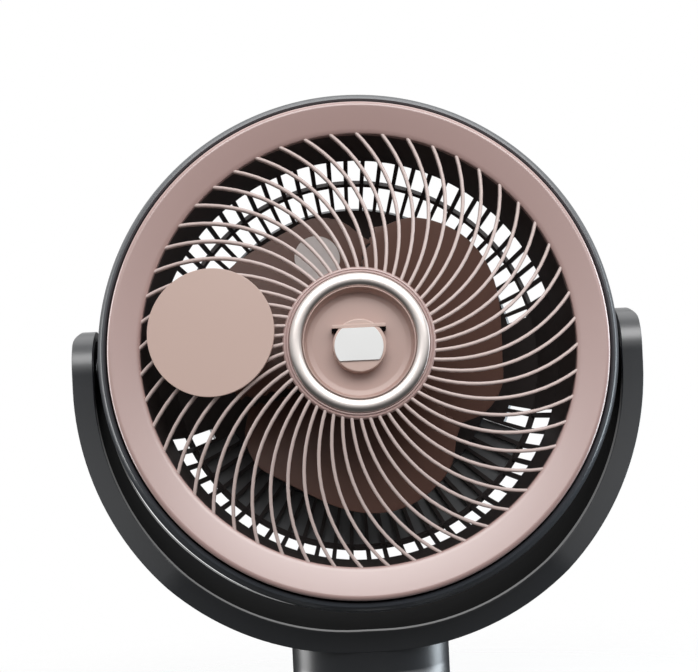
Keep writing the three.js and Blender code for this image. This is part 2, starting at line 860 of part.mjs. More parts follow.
function baseCover() {
  const shell = turned(
    [
      [45, BASE_TOP],
      [116, BASE_TOP],
      [126, 29],
      [BASE_RADIUS, 18],
      [129.5, 8.6],
      [127, 8.6],
      [127.4, 17.6],
      [123.8, 26.8],
      [115, 31.2],
      [45, 31.2],
    ],
    40,
  );
  const posts = together(POST_ANGLES.map((degrees) =>
    upright(ring(0, 4.5, 8.8, 32, 8)).translate(...onBase(POST_CIRCLE, degrees), 0)));
  const holes = together(Object.values(BUTTON_ANGLES).map((degrees) =>
    upright(ring(0, BUTTON_RADIUS + 0.4, 28, 40, 12)).translate(...onBase(BUTTON_CIRCLE, degrees), 0)));
  const pocket = displayShape(GAP, 6).translate(0, 0, BASE_TOP - 1.6);
  const mouth = ring(0, INLET.mouth, 118, 140, 16).translate(0, 0, INLET.height);
  return cut(join(upright(shell), posts), holes, pocket, mouth);
}

// The display's outline, grown all round by a margin and raised to a height.
function displayShape(margin, height) {
  const shape = roundedRectangle(46 + 2 * margin, 13 + 2 * margin, 3.5 + margin);
  return prism(shape, height, 3).translate(0, DISPLAY_Y, 0);
}

function displayWindow() {
  return displayShape(0, 1.3).translate(0, 0, BASE_TOP - 1.3);
}

function button(degrees) {
  const cap = turned(
    [[0, 29.3], [7.6, 29.3], [7.6, 30.8], [BUTTON_RADIUS, 30.8], [BUTTON_RADIUS, 34.8], [6, 35.3], [0, 35.3]],
    12,
  );
  return upright(cap).translate(...onBase(BUTTON_CIRCLE, degrees), 0);
}

// The board has one small switch under each button.
function controlBoard() {
  const switches = Object.values(BUTTON_ANGLES).map((degrees) =>
    box(6, 6, 7, ...onBase(BUTTON_CIRCLE, degrees), 24.8));
  return join(boardPlate(), together(switches));
}

function boardPlate() {
  const shape = new THREE.Shape();
  const [from, to] = [radians(234), radians(306)];
  shape.absarc(0, 0, 112, from, to);
  shape.absarc(0, 0, 84, to, from, true);
  return prism(shape, 2, 16).translate(0, 0, 20);
}

function powerInlet() {
  const { height, face } = INLET;
  const block = box(14, 13, 14, 0, face - 6.5, height - 1);
  const socket = ring(0, 3.2, face - 9, face + 1, 16).translate(0, 0, height);
  const pin = ring(0, 1.1, face - 10, face - 1, 8).translate(0, 0, height);
  return join(cut(block, socket), pin);
}

function rubberFoot(degrees) {
  const foot = turned([[0, 0], [10, 0], [11, 1], [11, FOOT_HEIGHT], [0, FOOT_HEIGHT]], 12);
  return upright(foot).translate(...onBase(FOOT_CIRCLE, degrees), 0);
}

// ---- Assembly -----------------------------------------------------------------------------------------

function piece(group, name, finish, geometry) {
  const [color, roughness, metalness] = FINISHES[finish];
  const material = new THREE.MeshStandardMaterial({ color, roughness, metalness });
  const mesh = new THREE.Mesh(geometry, material);
  mesh.name = name;
  group.add(mesh);
}

function fanHead() {
  const head = new THREE.Group();
  piece(head, "front_grille", "rose", frontGrille());
  piece(head, "hub_chrome_ring", "chrome", hubChromeRing());
  piece(head, "hub_dish", "rose_flat", hubDish());
  piece(head, "hub_boss", "rose_flat", hubBoss());
  piece(head, "hub_plate", "pearl", hubPlate());
  piece(head, "grille_badge", "rose_flat", grilleBadge());
  piece(head, "air_duct", "black", airDuct());
  piece(head, "rear_housing", "slate", rearHousing());
  piece(head, "motor_cover", "slate", motorCover());
  piece(head, "driver_box", "slate", driverBox());
  piece(head, "driver_board", "board", driverBoard());
  piece(head, "side_cover_left", "graphite", sideCover(-1, 12.4));
  piece(head, "side_cover_right", "graphite", sideCover(1, 7));
  piece(head, "pivot_bush", "nylon", pivotBush());
  piece(head, "tilt_motor", "steel", tiltMotor());
  piece(head, "motor_base", "steel", motorBase());
  piece(head, "bearing_front", "steel", bearing(11));
  piece(head, "bearing_rear", "steel", bearing(40));
  piece(head, "stator", "copper", statorCore());
  piece(head, "grille_lock_screw", "steel", screw(4, 1.5, 2.4, 6.2).translate(0, -56.9, -LOCK_SCREW_DROP));
  COVER_SCREW_ANGLES.forEach((degrees, i) => {
    const [x, , z] = around(COVER_SCREW_CIRCLE, degrees, 0);
    piece(head, `cover_screw_${i + 1}`, "steel", screw(3.4, 1.5, 2, 7).translate(x, 70.2, z));
  });
  piece(head, "motor_shaft", "steel", ring(0, SHAFT_RADIUS, -55.5, 46, 24));
  piece(head, "rotor_can", "steel", rotorCan());
  piece(head, "magnet_ring", "magnet", ring(33.6, 36.5, 12, 40, 24));
  piece(head, "fan_rotor", "brown", fanRotor());
  piece(head, "rotor_nut", "brown", rotorNut());
  piece(head, "blade_sticker", "pearl", bladeSticker());
  head.rotation.x = -radians(HEAD_TILT);
  return head;
}

function yoke() {
  const group = new THREE.Group();
  piece(group, "yoke_frame", "graphite", yokeFrame());
  piece(group, "yoke_liner", "black", yokeLiner());
  piece(group, "pivot_pin", "steel", pivotPin());
  piece(group, "tilt_shaft", "steel", tiltShaft());
  piece(group, "pivot_cap_left", "graphite", pivotCap(-1));
  piece(group, "pivot_cap_right", "graphite", pivotCap(1));
  return group;
}

function stand() {
  const group = new THREE.Group();
  piece(group, "swing_spindle", "steel", swingSpindle());
  piece(group, "swing_gear", "nylon", swingGear());
  piece(group, "retaining_ring", "steel", upright(ring(12.3, 17.5, 124.4, 126.6)));
  piece(group, "swing_pinion", "nylon", swingPinion());
  piece(group, "swing_motor", "steel", swingMotor());
  piece(group, "swing_washer", "nylon", upright(ring(12.6, 24, PLATE_TOP + 0.4, 143.4)));
  piece(group, "bearing_plate", "steel", bearingPlate());
  piece(group, "column_housing", "graphite", columnHousing());
  piece(group, "ir_window", "gloss_black", irWindow());
  piece(group, "base_cover", "graphite", baseCover());
  piece(group, "base_plate", "black", upright(ring(0, 129, 5.3, 8.3, 40)));
  piece(group, "ballast_plate", "steel", upright(ring(20, 100, 8.7, 15.2, 30)));
  piece(group, "control_board", "board", controlBoard());
  piece(group, "display_window", "gloss_black", displayWindow());
  piece(group, "power_inlet", "black", powerInlet());
  for (const [name, degrees] of Object.entries(BUTTON_ANGLES)) {
    piece(group, `button_${name}`, "gloss_black", button(degrees));
  }
  POST_ANGLES.forEach((degrees, i) => piece(group, `rubber_foot_${i + 1}`, "rubber", rubberFoot(degrees)));
  return group;
}

const fan = new THREE.Group();
const aboveFloor = new THREE.Group();
aboveFloor.position.z = PIVOT_HEIGHT;
aboveFloor.add(fanHead(), yoke());
fan.add(aboveFloor, stand());

export default fan;
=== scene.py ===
# %% [markdown]
# # A tabletop air circulator
# The real object is a round fan head with a swept grille, held in a U-shaped yoke on a short column.
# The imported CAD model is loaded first. It fixes where everything is, so every piece made here is
# worked out from it, and a piece that shows is modelled again with the roundings and fine openings
# that make moulded plastic look real.

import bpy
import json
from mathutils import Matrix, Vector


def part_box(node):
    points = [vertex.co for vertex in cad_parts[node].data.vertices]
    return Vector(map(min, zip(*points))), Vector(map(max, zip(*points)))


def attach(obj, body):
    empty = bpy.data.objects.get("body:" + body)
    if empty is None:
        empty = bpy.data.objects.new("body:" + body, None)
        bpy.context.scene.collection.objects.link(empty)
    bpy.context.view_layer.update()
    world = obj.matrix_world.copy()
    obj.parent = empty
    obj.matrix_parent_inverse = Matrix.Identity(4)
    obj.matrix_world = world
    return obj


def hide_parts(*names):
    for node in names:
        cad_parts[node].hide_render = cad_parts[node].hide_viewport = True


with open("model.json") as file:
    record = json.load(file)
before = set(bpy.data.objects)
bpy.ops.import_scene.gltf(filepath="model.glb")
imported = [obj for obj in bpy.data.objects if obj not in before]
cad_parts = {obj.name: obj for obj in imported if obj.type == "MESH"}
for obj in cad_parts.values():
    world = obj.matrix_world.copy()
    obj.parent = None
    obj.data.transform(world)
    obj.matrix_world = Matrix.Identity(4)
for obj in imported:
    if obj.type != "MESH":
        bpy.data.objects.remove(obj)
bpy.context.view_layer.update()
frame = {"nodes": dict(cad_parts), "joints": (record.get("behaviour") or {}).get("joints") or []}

import json
import math

import bpy
from mathutils import Matrix, Vector

# %% [markdown]
# The head leans back a little at rest. Its tilt axis and its spin axis are joints of the frame, so
# the middle of the head and the lean are read from those joints. The head's pieces are modelled
# facing straight up, with the spin axis on Z, because turned shapes are simplest that way, and then
# set in place by one turn and one move.

# %% Where the head stands
MM = 0.001
JOINTS = {joint["name"]: joint for joint in frame["joints"]}
PIVOT = Vector(JOINTS["head_tilt"]["pos_m"])
LEAN = math.asin(JOINTS["fan_spin"]["axis"][2])
print("pivot", tuple(PIVOT), "lean", round(math.degrees(LEAN), 2), "degrees")

# %% [markdown]
# Operators act on whatever is selected, and the loaded nodes start selected. These helpers select
# only the piece being worked on, open it for editing with all of it selected, and apply a modifier
# or the object's place to its mesh.

# %% Working on one piece
def only(*objects):
    bpy.ops.object.select_all(action="DESELECT")
    for one in objects:
        one.select_set(True)
    bpy.context.view_layer.objects.active = objects[0]


def edit(obj):
    only(obj)
    bpy.ops.object.mode_set(mode="EDIT")
    bpy.ops.mesh.select_mode(type="VERT")
    bpy.ops.mesh.select_all(action="SELECT")


def done():
    bpy.ops.object.mode_set(mode="OBJECT")


def modify(obj, kind, **settings):
    modifier = obj.modifiers.new(kind.title(), kind)
    for key, value in settings.items():
        setattr(modifier, key, value)
    only(obj)
    bpy.ops.object.modifier_apply(modifier=modifier.name)
    return obj


def place(obj, location=(0, 0, 0), rotation=(0, 0, 0)):
    """Turns the piece about X, Y and Z, moves it, and applies both to its mesh."""
    turn = Matrix.Identity(4)
    for angle, axis in zip(rotation, "XYZ"):
        turn = Matrix.Rotation(angle, 4, axis) @ turn
    obj.matrix_basis = Matrix.Translation(location) @ turn @ obj.matrix_basis
    only(obj)
    bpy.ops.object.transform_apply(location=True, rotation=True, scale=True)
    return obj


def on_head(obj):
    return place(obj, PIVOT, (math.pi / 2 - LEAN, 0, 0))


def outward(obj, smooth=30):
    edit(obj)
    bpy.ops.mesh.remove_doubles(threshold=1e-6)
    bpy.ops.mesh.normals_make_consistent(inside=False)
    done()
    bpy.ops.object.shade_smooth_by_angle(angle=math.radians(smooth))
    return obj


def join(first, *others):
    only(first, *others)
    bpy.ops.object.join()
    return first


def boolean(obj, tool, operation="DIFFERENCE"):
    modify(obj, "BOOLEAN", object=tool, operation=operation, solver="EXACT")
    bpy.data.objects.remove(tool)
    return obj


# %% [markdown]
# Most of the fan is round. A turned piece starts as a circle, and the circle's edges are extruded
# and resized from one point of a profile to the next, which is how such a shape is drawn up by hand.
# Moulded edges are never knife-sharp, so a profile is eased first: each corner becomes a small curve.

# %% Turned pieces
def eased(profile, ease=0.5, steps=3, closed=True):
    points = [Vector(point) for point in profile]
    result = []
    for i, corner in enumerate(points):
        if not closed and i in (0, len(points) - 1):
            result.append(tuple(corner))
            continue
        before, after = points[i - 1] - corner, points[(i + 1) % len(points)] - corner
        reach = min(ease, 0.45 * before.length, 0.45 * after.length)
        start, end = corner + before.normalized() * reach, corner + after.normalized() * reach
        for step in range(steps + 1):
            t = step / steps
            result.append(tuple((1 - t) ** 2 * start + 2 * t * (1 - t) * corner + t**2 * end))
    return result


def select_open_edges():
    bpy.ops.mesh.select_mode(type="EDGE")
    bpy.ops.mesh.select_all(action="DESELECT")
    bpy.ops.mesh.select_non_manifold(
        extend=False, use_wire=False, use_multi_face=False, use_non_contiguous=False, use_verts=False
    )


def turned(name, profile, segments=128, ends="ring"):
    """ends is ring for a profile that closes on itself, caps for discs at both ends, or open."""
    radius, height = profile[0]
    bpy.ops.object.select_all(action="DESELECT")
    bpy.ops.mesh.primitive_circle_add(
        vertices=segments,
        radius=radius * MM,
        location=(0, 0, height * MM),
        fill_type="TRIFAN" if ends == "caps" else "NOTHING",
    )
    obj = bpy.context.object
    obj.name = name
    place(obj)
    edit(obj)
    for next_radius, next_height in profile[1:]:
        step = {"value": (0, 0, (next_height - height) * MM)}
        if ends == "caps":
            bpy.ops.mesh.extrude_region_move(TRANSFORM_OT_translate=step)
        else:
            bpy.ops.mesh.extrude_edges_move(TRANSFORM_OT_translate=step)
        grow = next_radius / radius
        bpy.ops.transform.resize(value=(grow, grow, 1), center_override=(0, 0, 0))
        radius, height = next_radius, next_height
    if ends == "ring":
        select_open_edges()
        bpy.ops.mesh.bridge_edge_loops()
    done()
    return outward(obj)


# %% [markdown]
# Flat-sided pieces start as a cube of the right size, and its edges are rounded by a bevel.

# %% Blocks
def block(name, size, centre, bevel=0.5, segments=3):
    bpy.ops.object.select_all(action="DESELECT")
    bpy.ops.mesh.primitive_cube_add(size=MM, location=[at * MM for at in centre])
    obj = bpy.context.object
    obj.name = name
    obj.scale = size
    place(obj)
    if bevel:
        modify(obj, "BEVEL", width=bevel * MM, segments=segments, limit_method="ANGLE")
    bpy.ops.object.shade_smooth_by_angle(angle=math.radians(30))
    return obj


def copies(obj, count):
    """The piece and its copies, evenly round the spin axis, each with a mesh of its own."""
    made = [obj]
    for number in range(1, count):
        only(obj)
        bpy.ops.object.duplicate()
        made.append(place(bpy.context.object, rotation=(0, 0, 2 * math.pi * number / count)))
    return made


# %% [markdown]
# ## Materials
# A finish is a small network of nodes. Two helpers keep it readable: a Value wraps one socket and
# lets Python's own signs add the Math nodes, and a Finish adds any other node by its type.

# %% Node helpers
class Value:
    """A socket that + and * work on, also with a number on the left."""

    def __init__(self, finish, socket):
        self.finish, self.socket = finish, socket

    def math(self, operation, first, second):
        return self.finish.add("Math", {"operation": operation}, {0: first, 1: second})

    def __add__(self, other):
        return self.math("ADD", self, other)

    def __mul__(self, other):
        return self.math("MULTIPLY", self, other)

    __radd__, __rmul__ = __add__, __mul__


class Finish:
    """One material. add() sets a node's settings first, then its sockets, and returns an output."""

    def __init__(self, name):
        self.material = bpy.data.materials.new(name)
        self.material.use_nodes = True
        self.tree = self.material.node_tree
        self.tree.nodes.clear()

    def add(self, kind, settings=None, sockets=None, out=0):
        node = self.tree.nodes.new("ShaderNode" + kind)
        for key, value in (settings or {}).items():
            setattr(node, key, value)
        for key, value in (sockets or {}).items():
            if isinstance(value, Value):
                self.tree.links.new(value.socket, node.inputs[key])
            else:
                node.inputs[key].default_value = value
        return Value(self, node.outputs[out])

    def here(self):
        return self.add("TexCoord", out="Object")

    def noise(self, scale, detail=2.0, stretch=(1, 1, 1)):
        spot = self.add("Mapping", None, {"Vector": self.here(), "Scale": stretch})
        return self.add("TexNoise", None, {"Vector": spot, "Scale": scale, "Detail": detail})

    def mix(self, first, second, factor):
        # A Mix node has sockets of one name for each type. These numbers are those for colours.
        return self.add("Mix", {"data_type": "RGBA"}, {0: factor, 6: first, 7: second}, out=2)

    def bump(self, height, distance):
        return self.add("Bump", None, {"Height": height, "Distance": distance})

    def end(self, **sockets):
        named = {key.replace("_", " "): value for key, value in sockets.items()}
        shader = self.add("BsdfPrincipled", None, named)
        self.add_output(shader)
        return self.material

    def add_output(self, shader):
        node = self.tree.nodes.new("ShaderNodeOutputMaterial")
        self.tree.links.new(shader.socket, node.inputs["Surface"])


def linear(red, green, blue):
    """A screen colour of 0 to 255 as the linear colour that a shader takes."""
    def one(value):
        value /= 255
        return value / 12.92 if value <= 0.04045 else ((value + 0.055) / 1.055) ** 2.4

    return (one(red), one(green), one(blue), 1.0)


# %% [markdown]
# Painted and moulded plastic differ from a flat colour in three small ways: the colour drifts a
# little from place to place, handling leaves the gloss uneven, and the skin has a fine grain that
# breaks up highlights. One function makes all the plastics from those three, at each one's scale.
# The ribs have a lighter rose than the ring, which is a painted highlight for the light on their round
# fronts, and the dish one duller than the boss's, which is painted shade for its recess. The flat faces have
# a shade of the ring's rose of their own, lighter than the ring. The blade's label is dull paper, its tint
# darkened as painted shade. The driver's box is a lighter grey on the faces that the slots show, and the
# inside of the head a warm grey, both painted light.

# %% Plastics and paints
def plastic(
    name, colour, drift, roughness, grain, coat=0.0, specular=0.5, patchy=0.06, coat_roughness=0.25
):
    """grain is the scale of the skin's noise and its depth in millimetres."""
    finish = Finish(name)
    cloud = finish.noise(9.0, 3.0)
    tint = finish.mix(colour, drift, cloud)
    wear = finish.noise(60.0, 4.0)
    size, depth = grain
    skin = finish.noise(size, 1.0)
    return finish.end(
        Base_Color=tint,
        Roughness=roughness - patchy / 2 + wear * patchy,
        Normal=finish.bump(skin, depth * MM),
        Coat_Weight=coat,
        Coat_Roughness=coat_roughness,
        Coat_IOR=1.7,
        Specular_IOR_Level=specular,
    )


ROSE = plastic("rose_satin", linear(194, 163, 158), linear(188, 157, 151), 0.33, (3000, 0.005), coat=1.0)
# Painted highlight: the ribs belong to the ring's moulding and are made a lighter rose for the light on
# their round fronts.
ROSE_RIB_HIGHLIGHT = plastic(
    "rose_ribs_painted_highlight", linear(222, 203, 198), linear(215, 195, 189), 0.36, (3000, 0.004),
    coat=0.3, specular=0.4,
)
ROSE_FLAT = plastic(
    "rose_satin_flat", linear(213, 186, 174), linear(207, 176, 165), 0.42, (2600, 0.008), coat=0.5
)
# Painted shade: the dish is a recess, and its rose is duller than the boss's and the round plate's.
ROSE_DISH_SHADED = plastic(
    "rose_dish_painted_shade", linear(198, 170, 161), linear(190, 162, 153), 0.45, (2600, 0.008), coat=0.3
)
PEARL = plastic("bare_white", linear(250, 250, 249), linear(246, 246, 245), 0.3, (2400, 0.003))
# The label is dull paper; its tint is darker than its white as painted shade for where it sits on the blade.
PAPER_SHADED = plastic("label_paper_painted_shade", linear(214, 206, 203), linear(206, 197, 194), 0.6, (1500, 0.01))
GRAPHITE = plastic(
    "dark_satin_paint", linear(36, 39, 43), linear(31, 35, 41), 0.4, (3200, 0.006),
    coat=1.0, specular=0.7, coat_roughness=0.3,
)
SLATE = plastic(
    "slate_paint", linear(58, 62, 68), linear(52, 56, 62), 0.34, (3000, 0.005), coat=0.55, specular=0.6
)
# Painted light: the inside of the head, really black and slate, gets this warm grey for the light that
# reaches in through the grille.
INNER_PAINTED_LIGHT = plastic("inner_painted_light", linear(70, 63, 62), linear(57, 52, 51), 0.42, (1800, 0.01))
# Painted light: the driver's box is slate, and this lighter grey goes on the faces that the slots show.
BOX_FACE_PAINTED_LIGHT = plastic("box_face_painted_light", linear(134, 134, 136), linear(114, 116, 117), 0.35, (1800, 0.01))
BLACK = plastic("black_texture", linear(12, 12, 15), linear(8, 8, 10), 0.75, (1300, 0.03), specular=0.06)
BROWN = plastic(
    "smoky_brown", linear(114, 84, 74), linear(100, 72, 63), 0.36, (2200, 0.004), specular=0.25
)
GLOSS = plastic(
    "gloss_dark", linear(16, 16, 19), linear(12, 12, 15), 0.08, (900, 0.001),
    coat=0.5, patchy=0.03, coat_roughness=0.05,
)
NYLON = plastic("natural_nylon", linear(232, 228, 216), linear(222, 217, 202), 0.45, (1500, 0.01))
RUBBER = plastic("foot_rubber", linear(38, 38, 40), linear(30, 30, 32), 0.85, (700, 0.05), specular=0.25)
FERRITE = plastic("sintered_ferrite", linear(58, 58, 62), linear(44, 44, 48), 0.7, (1200, 0.03))
print(len(bpy.data.materials), "materials so far")

# %% [markdown]
# Metal shows its working: plated steel is brushed in one direction, so its grain is a noise that is
# stretched along that direction. The bright ring is plated plastic with a soft sheen, so it has no
# brushing, and a faint haze varies its tint and gloss. The board gets a pattern of tracks.

# %% Metals and the board
def brushed(name, colour, dark, roughness, stretch=(1, 1, 12)):
    finish = Finish(name)
    lines = finish.noise(900.0, 2.0, stretch)
    return finish.end(
        Base_Color=finish.mix(colour, dark, lines),
        Roughness=roughness + lines * 0.12,
        Metallic=1.0,
        Normal=finish.bump(lines, 0.004 * MM),
    )


def bright_plate():
    finish = Finish("bright_plating")
    haze = finish.noise(40.0, 3.0)
    tint = finish.mix(linear(240, 233, 229), linear(229, 219, 214), haze)
    return finish.end(Base_Color=tint, Roughness=0.28 + haze * 0.08, Metallic=1.0)


def board():
    finish = Finish("circuit_board")
    tracks = finish.add(
        "TexBrick",
        {"offset": 0.5},
        {"Vector": finish.here(), "Scale": 90.0, "Mortar Size": 0.03, "Color1": (0, 0, 0, 1),
         "Color2": (0, 0, 0, 1), "Mortar": (1, 1, 1, 1)},
        out="Fac",
    )
    tint = finish.mix(linear(28, 92, 58), linear(70, 140, 92), tracks)
    return finish.end(Base_Color=tint, Roughness=0.45, Normal=finish.bump(tracks, 0.03 * MM))


STEEL = brushed("zinc_plated_steel", linear(196, 198, 202), linear(160, 163, 168), 0.26)
SHAFT = brushed("ground_shaft", linear(206, 207, 210), linear(176, 178, 182), 0.16, (1, 12, 1))
COPPER = brushed("copper_windings", linear(196, 118, 68), linear(140, 78, 42), 0.3, (1, 8, 8))
CHROME = bright_plate()
BOARD = board()
print(len(bpy.data.materials), "materials so far")

# %% [markdown]
# A finished piece gets its finish and says two things to the frame: the body that it rides on, and the CAD
# nodes that it stands for, which are hidden. The meshes already sit in place.

# %% Handing a piece to the frame
def hand_over(obj, material, body, slot, *nodes):
    if material:
        obj.data.materials.clear()
        obj.data.materials.append(material)
    modify(obj, "WEIGHTED_NORMAL", keep_sharp=True)
    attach(obj, body)
    if nodes:
        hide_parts(*nodes)
    faces = len(obj.data.polygons)
    print(f"{obj.name}: {faces} faces, rides on {body}")
    return obj


# %% [markdown]
# ## The front grille
# The ring and its 52 ribs are one moulding. The ring's face slopes in towards the ribs and its outer
# edge is a soft roll that catches the light from above. It is turned, with four segments for each
# rib so that the ribs meet it alike.

# %% Ring
RING_OUTER, RING_INNER = 162.0, 141.0
RING_FRONT, RING_BACK = 72.0, 62.3
ROLL = 2.8
RIBS = 52


def ring_profile():
    arc = []
    for step in range(9):
        turn = math.radians(104 - 13 * step)
        centre = (RING_OUTER - ROLL, RING_FRONT - ROLL)
        arc.append((centre[0] + ROLL * math.cos(turn), centre[1] + ROLL * math.sin(turn)))
    inner = eased([(RING_INNER, RING_BACK), (RING_INNER, 67.2), (144, 68.7)], 1.2, 4, closed=False)
    return inner + arc + [(RING_OUTER, RING_BACK)]


ring = turned("grille_ring", ring_profile(), 4 * RIBS)
print("ring", len(ring.data.vertices), "vertices")

# %% [markdown]
# Each rib leaves the hub almost straight and curves round as it nears the ring, and its front drops
# back from the hub to the ring. One rib is drawn by extruding its square end along that path, step
# by step, turning it to face along the path each time. Its edges are rounded and it is copied. The thin ribs
# get a lighter rose than the ring, which is a painted highlight for the light that their round fronts catch.

# %% Ribs
HUB_RADIUS, HUB_FRONT = 49.5, 86.6
RIB_WIDTH, RIB_DEPTH = 2.2, 5.0
RIB_SWEEP, RIB_PHASE = 26.7, -1.3
RIB_STEPS = 14


def rib_point(radius):
    out = (radius - HUB_RADIUS) / (RING_INNER - HUB_RADIUS)
    turn = math.radians(RIB_PHASE + RIB_SWEEP * (0.78 * out + 0.22 * out * out))
    out = max(out, 0)
    front = HUB_FRONT - 12.4 * out - 7 * out * out
    back = max(front - RIB_DEPTH, RING_BACK + 0.2)
    return Vector((radius * math.cos(turn), radius * math.sin(turn), (front + back) / 2)) * MM


def rib():
    reach = RING_INNER + 2 - (HUB_RADIUS - 3)
    path = [rib_point(HUB_RADIUS - 3 + reach * i / RIB_STEPS) for i in range(RIB_STEPS + 1)]
    headings = [math.atan2((b - a).y, (b - a).x) for a, b in zip(path, path[1:])]
    bpy.ops.object.select_all(action="DESELECT")
    bpy.ops.mesh.primitive_plane_add(size=MM)
    obj = bpy.context.object
    obj.name = "rib"
    obj.scale = (RIB_DEPTH, RIB_WIDTH, 1)
    place(obj, path[0], (0, math.pi / 2, headings[0]))
    edit(obj)
    for i in range(1, len(path)):
        step = path[i] - path[i - 1]
        bpy.ops.mesh.extrude_region_move(TRANSFORM_OT_translate={"value": step})
        turn = headings[min(i, len(headings) - 1)] - headings[i - 1]
        bpy.ops.transform.rotate(value=-turn, orient_axis="Z", center_override=path[i])
    done()
    outward(obj)
    modify(obj, "BEVEL", width=0.95 * MM, segments=3, limit_method="ANGLE", angle_limit=math.radians(50))
    return outward(obj)


first_rib = rib()
first_rib.data.materials.append(ROSE_RIB_HIGHLIGHT)
ribs = copies(first_rib, RIBS)
print(len(ribs), "ribs of", len(ribs[0].data.polygons), "faces")

# %% [markdown]
# At the hub the ribs run into a flange with two fine steps round the bright ring. Ring, ribs and
# flange are joined into the one piece that the real moulding is.

# %% Flange and the joined grille
FLANGE = [
    (38, 81.5), (48.8, 81.5), (48.8, 85.4), (47.9, 86.7), (47.0, 86.9), (46.8, 86.2), (46.3, 86.2),
    (46.0, 87.5), (45.1, 87.5), (44.9, 86.9), (38, 86.9),
]
flange = turned("grille_flange", eased(FLANGE, 0.3), 4 * RIBS)
for part in (ring, flange):
    part.data.materials.append(ROSE)
grille = on_head(join(ring, flange, *ribs))
grille.name = "grille_moulding"
hand_over(grille, None, "head", "rose", "front_grille")

# %% [markdown]
# ## The hub
# A half-round bright ring frames a shallow dish. Its plating reflects the lamps, so it is turned in
# many small steps to keep those reflections clean. The dish has a fine raised lip just inside it.

# %% Bright ring and dish
def half_round(inner, outer, base, height, steps=14):
    middle, half = (inner + outer) / 2, (outer - inner) / 2
    arc = [(outer, base)]
    for step in range(steps + 1):
        turn = math.pi * step / steps
        arc.append((middle + half * math.cos(turn), base + 0.6 + height * math.sin(turn)))
    return arc + [(inner, base)]


bright = on_head(turned("hub_bright_ring", half_round(36.4, 44.6, 87.4, 1.7), 192))
hand_over(bright, CHROME, "head", "chrome", "hub_chrome_ring")

DISH_BACK = [(0.6, 77.4), (35, 77.4), (36, 79.2)]
DISH = [
    (43, 79.2), (43, 81.2), (36.2, 81.2), (36.2, 88.2), (35.6, 88.8), (35.0, 88.4), (34.8, 82.4),
    (33.4, 79.9), (30, 79.2), (0.6, 79.2),
]
dish = turned("hub_dish_shell", DISH_BACK + eased(DISH, 0.5, closed=False), 128, "caps")
on_head(dish)
# The dish's duller rose is painted shade for its recess.
hand_over(dish, ROSE_DISH_SHADED, "head", "rose_flat", "hub_dish")

# %% [markdown]
# In the dish stands a round boss with a level ledge across its top. Behind the ledge's two ends, two small
# black blocks are painted shade for the dark holes there. The bare white plate on the boss is a disc with
# its top and bottom cut straight, which two bisects do.

# %% Boss, ledge and plate
PLATE_MIDDLE, PLATE_HALF = -1.5, 10.4
BOSS_DROP, PLATE_DROP = 2.15, 2.8
BOSS = [(17, 78.8), (17, 89.4), (0.5, 89.4)]

boss = turned("boss_drum", eased(BOSS, 0.9, 4, closed=False), 96, "caps")
place(boss, (0, -BOSS_DROP * MM, 0))
ledge = block("boss_ledge", (34, 2.4, 11), (0, 10.2, 84.4), 0.4)
boss = on_head(join(boss, ledge))
hand_over(boss, ROSE_FLAT, "head", "rose_flat", "hub_boss")

# Painted shade: black blocks where the holes behind the ledge's ends are dark.
pocket_shade_blocks = [block("ledge_pocket_shade", (3.6, 2.0, 9), (side * 15.4, 8.3, 84.0), 0.4) for side in (-1, 1)]
pocket_shade_pair = on_head(join(*pocket_shade_blocks))
pocket_shade_pair.name = "boss_pocket_shade"
hand_over(pocket_shade_pair, BLACK, "head", "black")


def straight_cut(obj, level, keep_below):
    edit(obj)
    bpy.ops.mesh.bisect(
        plane_co=(0, level * MM, 0),
        plane_no=(0, 1, 0),
        use_fill=True,
        clear_outer=keep_below,
        clear_inner=not keep_below,
    )
    done()


plate = turned("hub_plate_blank", [(15.5, 89.5), (15.5, 90.7)], 96, "caps")
place(plate, (-0.5 * MM, -PLATE_DROP * MM, 0))
straight_cut(plate, PLATE_MIDDLE + PLATE_HALF, True)
straight_cut(plate, PLATE_MIDDLE - PLATE_HALF, False)
modify(plate, "BEVEL", width=0.25 * MM, segments=2, limit_method="ANGLE")
on_head(outward(plate))
hand_over(plate, PEARL, "head", "pearl", "hub_plate")

# %% [markdown]
# ## The round plate on the ribs
# A thin disc is clipped over the ribs left of the hub. Its face is bare, flat and satin. It leans a
# little, because it follows the ribs, which come forward towards the hub.

# %% Round plate
BADGE = {"radius": 41.2, "x": -94.1, "up": 11.2, "front": 82.8, "lean": math.radians(-8)}
face = eased([(1, -1.2), (BADGE["radius"], -1.2), (BADGE["radius"], 1.2), (1, 1.2)], 0.45, 3, False)
badge = turned("round_plate", face, 128, "caps")
clips = [block("clip", (2.4, 2.4, 7), (x, y, -4.4), 0.3) for x, y in ((18, 4), (-14, 22), (-14, -20))]
badge = join(badge, *clips)
place(badge, (BADGE["x"] * MM, BADGE["up"] * MM, BADGE["front"] * MM), (0, BADGE["lean"], 0))
on_head(badge)
hand_over(badge, ROSE_FLAT, "head", "rose_flat", "grille_badge")

# %% [markdown]
# ## Duct and rear housing
# Behind the ring a dark funnel leads the air. The rear housing is a bowl with a swelling rim. It is
# turned as a bare skin, its vent slots are opened by deleting faces, and only then does it get its
# wall, so that every slot has proper thickness all round.

# %% Duct
DUCT = [(141, 62), (160, 62), (160, 59.6), (143.6, 59.6), (139.6, 12.3), (137, 12.3)]
# The funnel is black, but it gets the warm grey of painted light.
duct = on_head(turned("duct_funnel", eased(DUCT, 0.5), 144))
hand_over(duct, INNER_PAINTED_LIGHT, "head", "black", "air_duct")

# %% [markdown]
# There are 72 slots in each of two rows, one in the steep wall of the bowl and one in its shallow
# floor, parted by a thin ring. Four segments of the turning make one slot and its bar. No slots are
# cut near the tilt axis, where the side pods stand, and those over the driver's box are longer.

